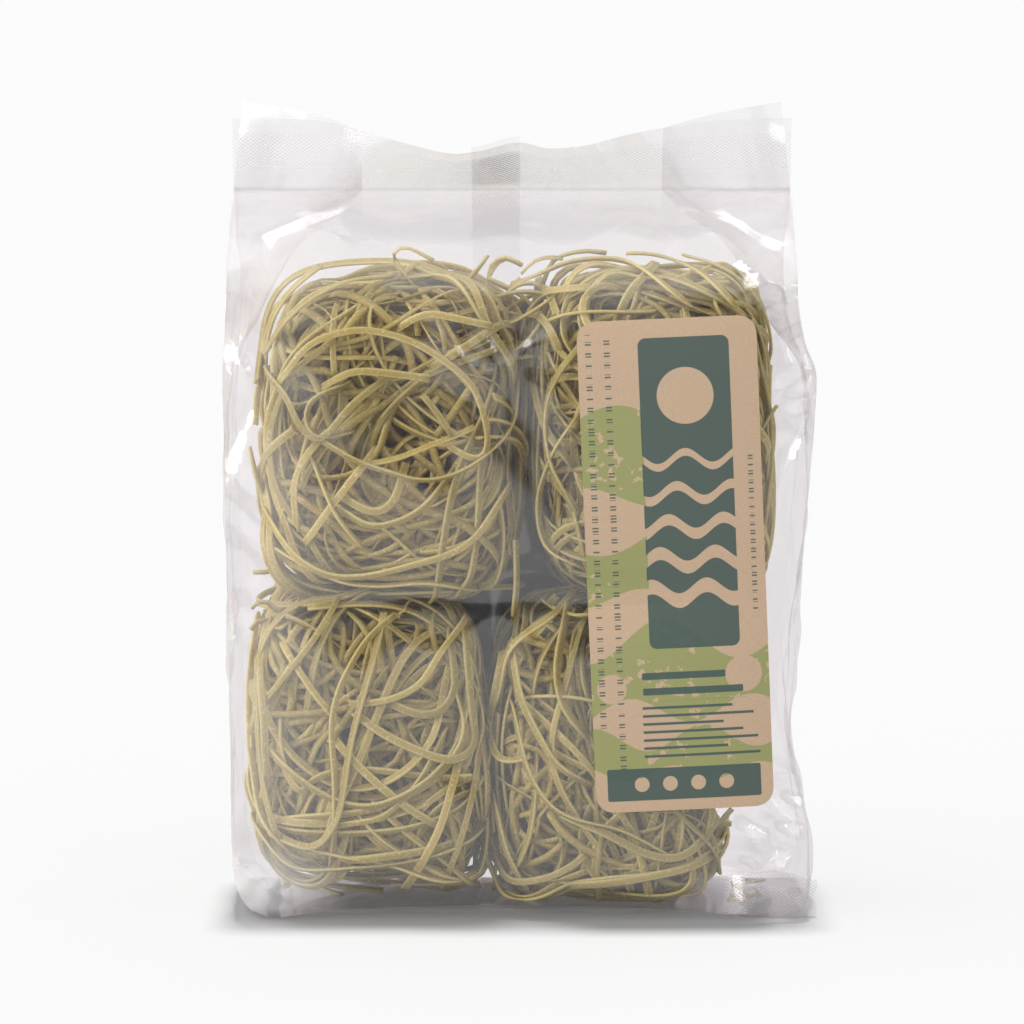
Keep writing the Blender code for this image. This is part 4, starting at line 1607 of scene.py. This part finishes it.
COLUMNS = (
    # x, y, half height, width, pitch and seed
    (-0.0222, 0.0105, 0.0560, 0.0017, 0.0031, 3),
    (-0.0170, 0.0035, 0.0620, 0.0017, 0.0031, 11),
    (0.0221, 0.0080, 0.0235, 0.0014, 0.0024, 5),
)
# x, y, half width, half height, pitch, thickness and seed
FINE_LINES = (0.0055, -0.0465, 0.0165, 0.0082, 0.0023, 0.00075, 7)
BACK_LINES = (0, -0.020, 0.042, 0.045, 0.0042, 0.0011, 3)
BACK_RULE = (0, -0.020, 0.046, 0.050, 0.003)
BACK_FIELD = (0, -0.020, 0.0455, 0.0495, 0.0025)
BACK_BAND = (0, 0.060, 0.046, 0.010, 0.002)


class Print(Shader):
    """Shapes printed on a label, worked out from its own across and up in metres."""

    def __init__(self, tree, centre, tilt, side):
        super().__init__(tree)
        off = self.node("VectorMath", self.place, (centre[0], 0, centre[1]), operation="SUBTRACT")
        turned = self.node("VectorRotate", rotation_type="Y_AXIS", Angle=tilt, Vector=off["Vector"])
        at = self.axes(turned["Vector"])
        self.across = self.product(at["X"], -side)
        self.up = at["Z"]

    def inside(self, distance):
        """1 where a distance is below zero, with an edge as sharp as print."""
        return self.math("MULTIPLY_ADD", distance, -1 / PRINT_EDGE, 0.5, clamp=True)

    def gap(self, value, middle):
        """How far a value is from a middle one."""
        return self.math("ABSOLUTE", self.math("SUBTRACT", value, middle))

    def length(self, x, y):
        squares = [self.math("POWER", side, 2.0) for side in (x, y)]
        return self.math("POWER", self.math("ADD", *squares), 0.5)

    def box(self, x, y, half_width, half_height, corner=0.0):
        """A rounded box about a place."""
        gaps = []
        for along, middle, half in ((self.across, x, half_width), (self.up, y, half_height)):
            gaps.append(self.math("SUBTRACT", self.gap(along, middle), half - corner))
        outer = self.length(*[self.math("MAXIMUM", gap, 0.0) for gap in gaps])
        inner = self.math("MINIMUM", self.math("MAXIMUM", *gaps), 0.0)
        return self.inside(self.math("SUBTRACT", self.math("ADD", outer, inner), corner))

    def disk(self, x, y, radius):
        off = self.math("SUBTRACT", self.across, x), self.math("SUBTRACT", self.up, y)
        return self.inside(self.math("SUBTRACT", self.length(*off), radius))

    def wave(self, y, rise, pitch, shift):
        """Height above a wavy line across the label."""
        turn = self.math("MULTIPLY_ADD", self.across, 2 * math.pi / pitch, shift)
        return self.math("SUBTRACT", self.up, self.math("MULTIPLY_ADD", self.math("SINE", turn), rise, y))

    def rows(self, pitch, seed):
        """Even rows up the label: a chance for each, and how far a point is from its row's middle."""
        row = self.math("FLOOR", self.math("DIVIDE", self.up, pitch))
        chance = self.node("TexWhiteNoise", noise_dimensions="1D", W=self.math("ADD", row, seed))
        return chance["Value"], self.gap(self.math("WRAP", self.up, pitch, 0.0), pitch / 2)

    def lines(self, x, y, half_width, half_height, pitch, thickness, seed):
        """Rows of plain bars of uneven length where fine print would be."""
        chance, off = self.rows(pitch, seed)
        cut = self.math("MULTIPLY_ADD", chance, -SHORTEST_BAR * half_width, x + half_width)
        bar = self.inside(self.math("SUBTRACT", off, thickness / 2))
        short = self.inside(self.math("SUBTRACT", self.across, cut))
        return self.product(self.product(bar, short), self.box(x, y, half_width, half_height))

    def dashes(self, x, y, half_height, width, pitch, seed):
        """A column of small blocks of uneven size where upright fine print would be."""
        chance, off = self.rows(pitch, seed)
        size = self.math("MULTIPLY_ADD", chance, BLOCK_SPREAD * pitch, BLOCK_LEAST * pitch)
        block = self.inside(self.math("SUBTRACT", off, size))
        fine = self.gap(self.math("WRAP", self.up, STROKE_PITCH, 0.0), STROKE_PITCH / 2)
        stroke = self.inside(self.math("SUBTRACT", fine, STROKE_PITCH / 4))
        return self.product(self.product(block, stroke), self.box(x, y, width / 2, half_height))

    def either(self, *masks):
        whole = masks[0]
        for mask in masks[1:]:
            whole = self.math("MAXIMUM", whole, mask)
        return whole

    def without(self, a, b):
        return self.product(a, self.math("SUBTRACT", 1.0, b))


def kraft(draw):
    """Kraft paper's colour, with fine fibres."""
    paper = labels().paper_colour
    dark, pale = ([share * c for c in paper] for share in FIBRE_TONES)
    return draw.colour(draw.noise(*FIBRES), dark, pale)


def worn(draw, mask):
    """A mask with the specks that ink leaves bare on rough paper."""
    bare = [draw.inside(draw.math("SUBTRACT", draw.noise(*grain), edge)) for *grain, edge in INK_WEAR]
    return draw.without(mask, draw.product(*bare))


def hill(draw, top, rise, pitch, turn, depth):
    """A wavy band of green."""
    share, narrower, further = HILL_FOOT
    foot = draw.inside(draw.wave(top - depth, share * rise, narrower * pitch, turn + further))
    return draw.without(draw.inside(draw.wave(top, rise, pitch, turn)), foot)


def front_print(draw):
    """Hills, a sun and reeds in two greens, with plain bars for fine print. Returns the colour."""
    left_of = draw.inside(draw.math("SUBTRACT", draw.across, FAR_HILLS_END))
    far = [draw.product(hill(draw, *size), left_of) for size in FAR_HILLS]
    hills = draw.either(*far, *[hill(draw, *size) for size in NEAR_HILLS])
    green = worn(draw, draw.without(hills, draw.either(*[draw.disk(*hollow) for hollow in HOLLOWS])))
    reeds = []
    for k in range(REEDS):
        line = draw.wave(REED_TOP - REED_PITCH * k, REED_RISE, REED_WAVE, REED_TURN * k)
        half = REED_HALF + REED_WIDER * k
        reeds.append(draw.inside(draw.math("SUBTRACT", draw.math("ABSOLUTE", line), half)))
    block = draw.without(draw.box(*PANEL), draw.either(draw.disk(*SUN), *reeds))
    dots = draw.either(*[draw.disk(x, FOOT[1], DOT_RADIUS) for x in DOTS])
    small = draw.either(
        *[draw.dashes(*column) for column in COLUMNS],
        draw.lines(*FINE_LINES),
        *[draw.box(*bar) for bar in HEAD_BARS],
    )
    dark = draw.either(block, draw.without(draw.box(*FOOT), dots), small)
    colour = draw.colour(draw.product(green, GREEN_COVER), kraft(draw), labels().light_ink)
    return draw.colour(draw.product(dark, DARK_COVER), colour, labels().dark_ink)


def back_print(draw):
    """Bars in a ruled box on the outer side, and on the inner side the paper's reverse, coloured near black
    as painted shade.
    """
    rule = draw.without(draw.box(*BACK_RULE), draw.box(*BACK_FIELD))
    dark = draw.either(rule, draw.box(*BACK_BAND), draw.lines(*BACK_LINES))
    outer = draw.colour(draw.product(dark, DARK_COVER), kraft(draw), labels().dark_ink)
    facing = draw.axes(draw.coordinates["Normal"])["Y"]
    # the reverse's near-black colour is painted shade
    back = labels().reverse_shade_colour
    dull, pale = ([share * c for c in back] for share in REVERSE_SHADE_TONES)
    inner = draw.colour(draw.noise(REVERSE_SCALE), dull, pale)
    return draw.colour(draw.inside(draw.product(facing, -1.0)), inner, outer)


def label_material(name, design, place):
    """Kraft paper with its fibres and a design printed on it."""
    material = new_material(name)
    draw = Print(material.node_tree, **place)
    normal = draw.bump(draw.noise(*FIBRES), *FIBRE_RELIEF)
    paper = draw.node("BsdfPrincipled", Roughness=PAPER_ROUGHNESS, Base_Color=design(draw), Normal=normal)
    draw.node("OutputMaterial", Surface=paper["BSDF"])
    return material


class NOODLE_OT_labels(bpy.types.Operator):
    """Gives the two labels their kraft paper and their print"""

    bl_idname = "noodle.labels"
    bl_label = "Labels"

    def execute(self, context):
        prints = (("label", front_print, FRONT_LABEL), ("back_label", back_print, BACK_LABEL))
        for name, design, place in prints:
            label = frame["nodes"][name]
            label.data.materials.clear()
            label.data.materials.append(label_material(name + "_paper", design, place))
        return {"FINISHED"}


# Stage

FLOOR_FRONT = -1.40  # its front edge, beyond which the film mirrors the dark of the room
FLOOR_BACK = 40.0
FLOOR_WIDTH = 60.0
OPENING_LEFT = -0.52
OPENING_RIGHT = 0.90
OPENING_DEPTH = 30.0
FLOOR_GRAIN = 0.995  # the darker tone of its grain
FLOOR_GRAIN_SCALE = 40.0
FILM_LAYERS = 24  # see-through faces that a ray may pass


def floor_material():
    """Matt white board, lit from below, as an overlit sweep looks."""
    material = new_material("pale_floor")
    draw = Shader(material.node_tree)
    pale = studio().floor_colour
    colour = draw.colour(draw.noise(FLOOR_GRAIN_SCALE), pale, [FLOOR_GRAIN * c for c in pale])
    board = draw.node("BsdfDiffuse", Color=colour)["BSDF"]
    glow = draw.node("Emission", Strength=studio().floor_glow)["Emission"]
    draw.node("OutputMaterial", Surface=draw.node("AddShader", board, glow)["Shader"])
    return material


def make_floor():
    """A plain board far behind the bag and at its sides, with an opening in front of it."""
    side, low = FLOOR_WIDTH / 2, FLOOR_FRONT - OPENING_DEPTH
    boards = (
        (-side, FLOOR_FRONT, side, FLOOR_BACK),
        (-side, low, OPENING_LEFT, FLOOR_FRONT),
        (OPENING_RIGHT, low, side, FLOOR_FRONT),
    )
    deselect()
    made = []
    for left, near, right, far in boards:
        bpy.ops.mesh.primitive_plane_add(size=1, location=((left + right) / 2, (near + far) / 2, 0))
        bpy.ops.transform.resize(value=(right - left, far - near, 1))
        made.append(bpy.context.active_object)
    for board in made:
        board.select_set(True)
    bpy.ops.object.transform_apply(location=True, rotation=True, scale=True)
    bpy.ops.object.join()
    floor = bpy.context.active_object
    floor.name = "floor"
    floor.data.materials.append(floor_material())
    return floor


LAMPS = (
    # name, place, size and power. Each is aimed at the bag's middle.
    ("key", (-0.95, -0.36, 0.42), (1.0, 0.9), 14.5),
    ("fill", (1.2, -0.8, 0.7), (0.6, 0.6), 0.5),
    ("left_strip", (-0.75, -0.95, 0.85), (0.22, 0.7), 1.6),
    ("right_strip", (0.80, -1.00, 0.75), (0.22, 0.7), 1.3),
)
LAMP_AIM = (0, 0, 0.1)
OVERHEAD_LEAN = math.radians(5)  # it shines from a little behind, so the shadow falls forward
OVERHEAD_TILT = math.radians(0.3)  # and from a little to the left
OVERHEAD_SOFTNESS = math.radians(6)


def place_lamp(data, lit):
    """Adds a lamp that lights only the objects of a collection."""
    lamp = bpy.data.objects.new(data.name, data)
    lamp.light_linking.receiver_collection = lit
    bpy.context.scene.collection.objects.link(lamp)
    return lamp


def make_lamps(floor):
    """Soft lamps for the pack alone, and an overhead one for the floor alone, which gives the shadow."""
    lit = bpy.data.collections.new("lit_pieces")
    for piece in bpy.context.scene.objects:
        if piece.type == "MESH" and piece != floor:
            lit.objects.link(piece)
    for name, place, size, power in LAMPS:
        data = bpy.data.lights.new(name, "AREA")
        data.shape = "RECTANGLE"
        data.size, data.size_y = size
        data.energy = power
        lamp = place_lamp(data, lit)
        lamp.location = place
        lamp.rotation_euler = (Vector(LAMP_AIM) - lamp.location).to_track_quat("-Z", "Y").to_euler()
    board = bpy.data.collections.new("lit_floor")
    board.objects.link(floor)
    overhead = bpy.data.lights.new("overhead", "SUN")
    overhead.energy = studio().overhead_light
    overhead.angle = OVERHEAD_SOFTNESS
    place_lamp(overhead, board).rotation_euler = (-OVERHEAD_LEAN, -OVERHEAD_TILT, 0)


CAMERA_AIM = Vector((0.0, -0.012, 0.1150))
SENSOR_WIDTH = 36
VIEW_END = 10


def make_camera():
    data = bpy.data.cameras.new("camera")
    data.lens = studio().lens
    data.sensor_width = SENSOR_WIDTH
    data.clip_end = VIEW_END
    camera = bpy.data.objects.new("camera", data)
    angle = studio().camera_height_angle
    way = Vector((0, -math.cos(angle), math.sin(angle)))
    camera.location = CAMERA_AIM + studio().camera_distance * way
    camera.rotation_euler = (-way).to_track_quat("-Z", "Y").to_euler()
    bpy.context.scene.collection.objects.link(camera)
    bpy.context.scene.camera = camera


# The room by direction: which axis, where a zone starts and is full, and its brightness.
ROOM_ZONES = (
    ("X", -0.32, -0.62, 1.60),
    ("X", 0.60, 0.85, 0.60),
    ("Z", 0.36, 0.72, 1.75),
    ("Y", 0.25, 0.45, 1.00),
)
ROOM_FRONT = 0.62
DARK_FRONT = 0.05  # the dark low in front, which leaves a clear window in the film's shine
DARK_AHEAD = (-0.80, -0.90)  # where it starts and is full, by how far the way there points ahead
DARK_BELOW = (0.20, 0.12)  # and by how far it points up


def make_world():
    """An even pale room, brighter at its sides, and dark low in front."""
    world = bpy.data.worlds.new("studio")
    world.use_nodes = True
    draw = Shader(world.node_tree)
    way = draw.axes(draw.coordinates["Generated"])
    colour = [ROOM_FRONT] * 3
    for axis, start, full, brightness in ROOM_ZONES:
        colour = draw.colour(draw.ramp(way[axis], start, full), colour, [brightness] * 3)
    low_front = draw.product(draw.ramp(way["Y"], *DARK_AHEAD), draw.ramp(way["Z"], *DARK_BELOW))
    sky = world.node_tree.nodes["Background"]
    draw.feed(sky.inputs["Color"], draw.colour(low_front, colour, [DARK_FRONT] * 3))
    draw.feed(sky.inputs["Strength"], studio().room_light)
    bpy.context.scene.world = world


class NOODLE_OT_stage(bpy.types.Operator):
    """Makes the floor, the lights and the camera"""

    bl_idname = "noodle.stage"
    bl_label = "Stage"

    def execute(self, context):
        make_lamps(make_floor())
        make_camera()
        make_world()
        context.scene.view_settings.view_transform = "Standard"
        context.scene.cycles.transparent_max_bounces = FILM_LAYERS
        return {"FINISHED"}


class NOODLE_PT_panel(bpy.types.Panel):
    """Lists the pieces of the noodle bag"""

    bl_label = "Noodle Bag"
    bl_idname = "NOODLE_PT_panel"
    bl_space_type = "VIEW_3D"
    bl_region_type = "UI"
    bl_category = "Noodle Bag"

    def draw(self, context):
        for operator in OPERATORS:
            self.layout.operator(operator.bl_idname)
        for group in SETTINGS:
            box = self.layout.box()
            settings = getattr(context.scene, group)
            for key in settings.bl_rna.properties.keys():
                if key not in ("rna_type", "name"):
                    box.prop(settings, key)


SETTINGS = {
    "noodle_bag": BagSettings,
    "noodle_nests": NestSettings,
    "noodle_label": LabelSettings,
    "noodle_stage": StageSettings,
}
OPERATORS = (NOODLE_OT_film, NOODLE_OT_nests, NOODLE_OT_crumbs, NOODLE_OT_labels, NOODLE_OT_stage)


def register():
    for cls in (*SETTINGS.values(), *OPERATORS, NOODLE_PT_panel):
        bpy.utils.register_class(cls)
    for name, cls in SETTINGS.items():
        setattr(bpy.types.Scene, name, PointerProperty(type=cls))


def unregister():
    for name in SETTINGS:
        delattr(bpy.types.Scene, name)
    for cls in reversed((*SETTINGS.values(), *OPERATORS, NOODLE_PT_panel)):
        bpy.utils.unregister_class(cls)


def main():
    register()
    bpy.ops.noodle.film()
    bpy.ops.noodle.nests()
    bpy.ops.noodle.crumbs()
    bpy.ops.noodle.labels()
    bpy.ops.noodle.stage()


if __name__ == "__main__":
    main()
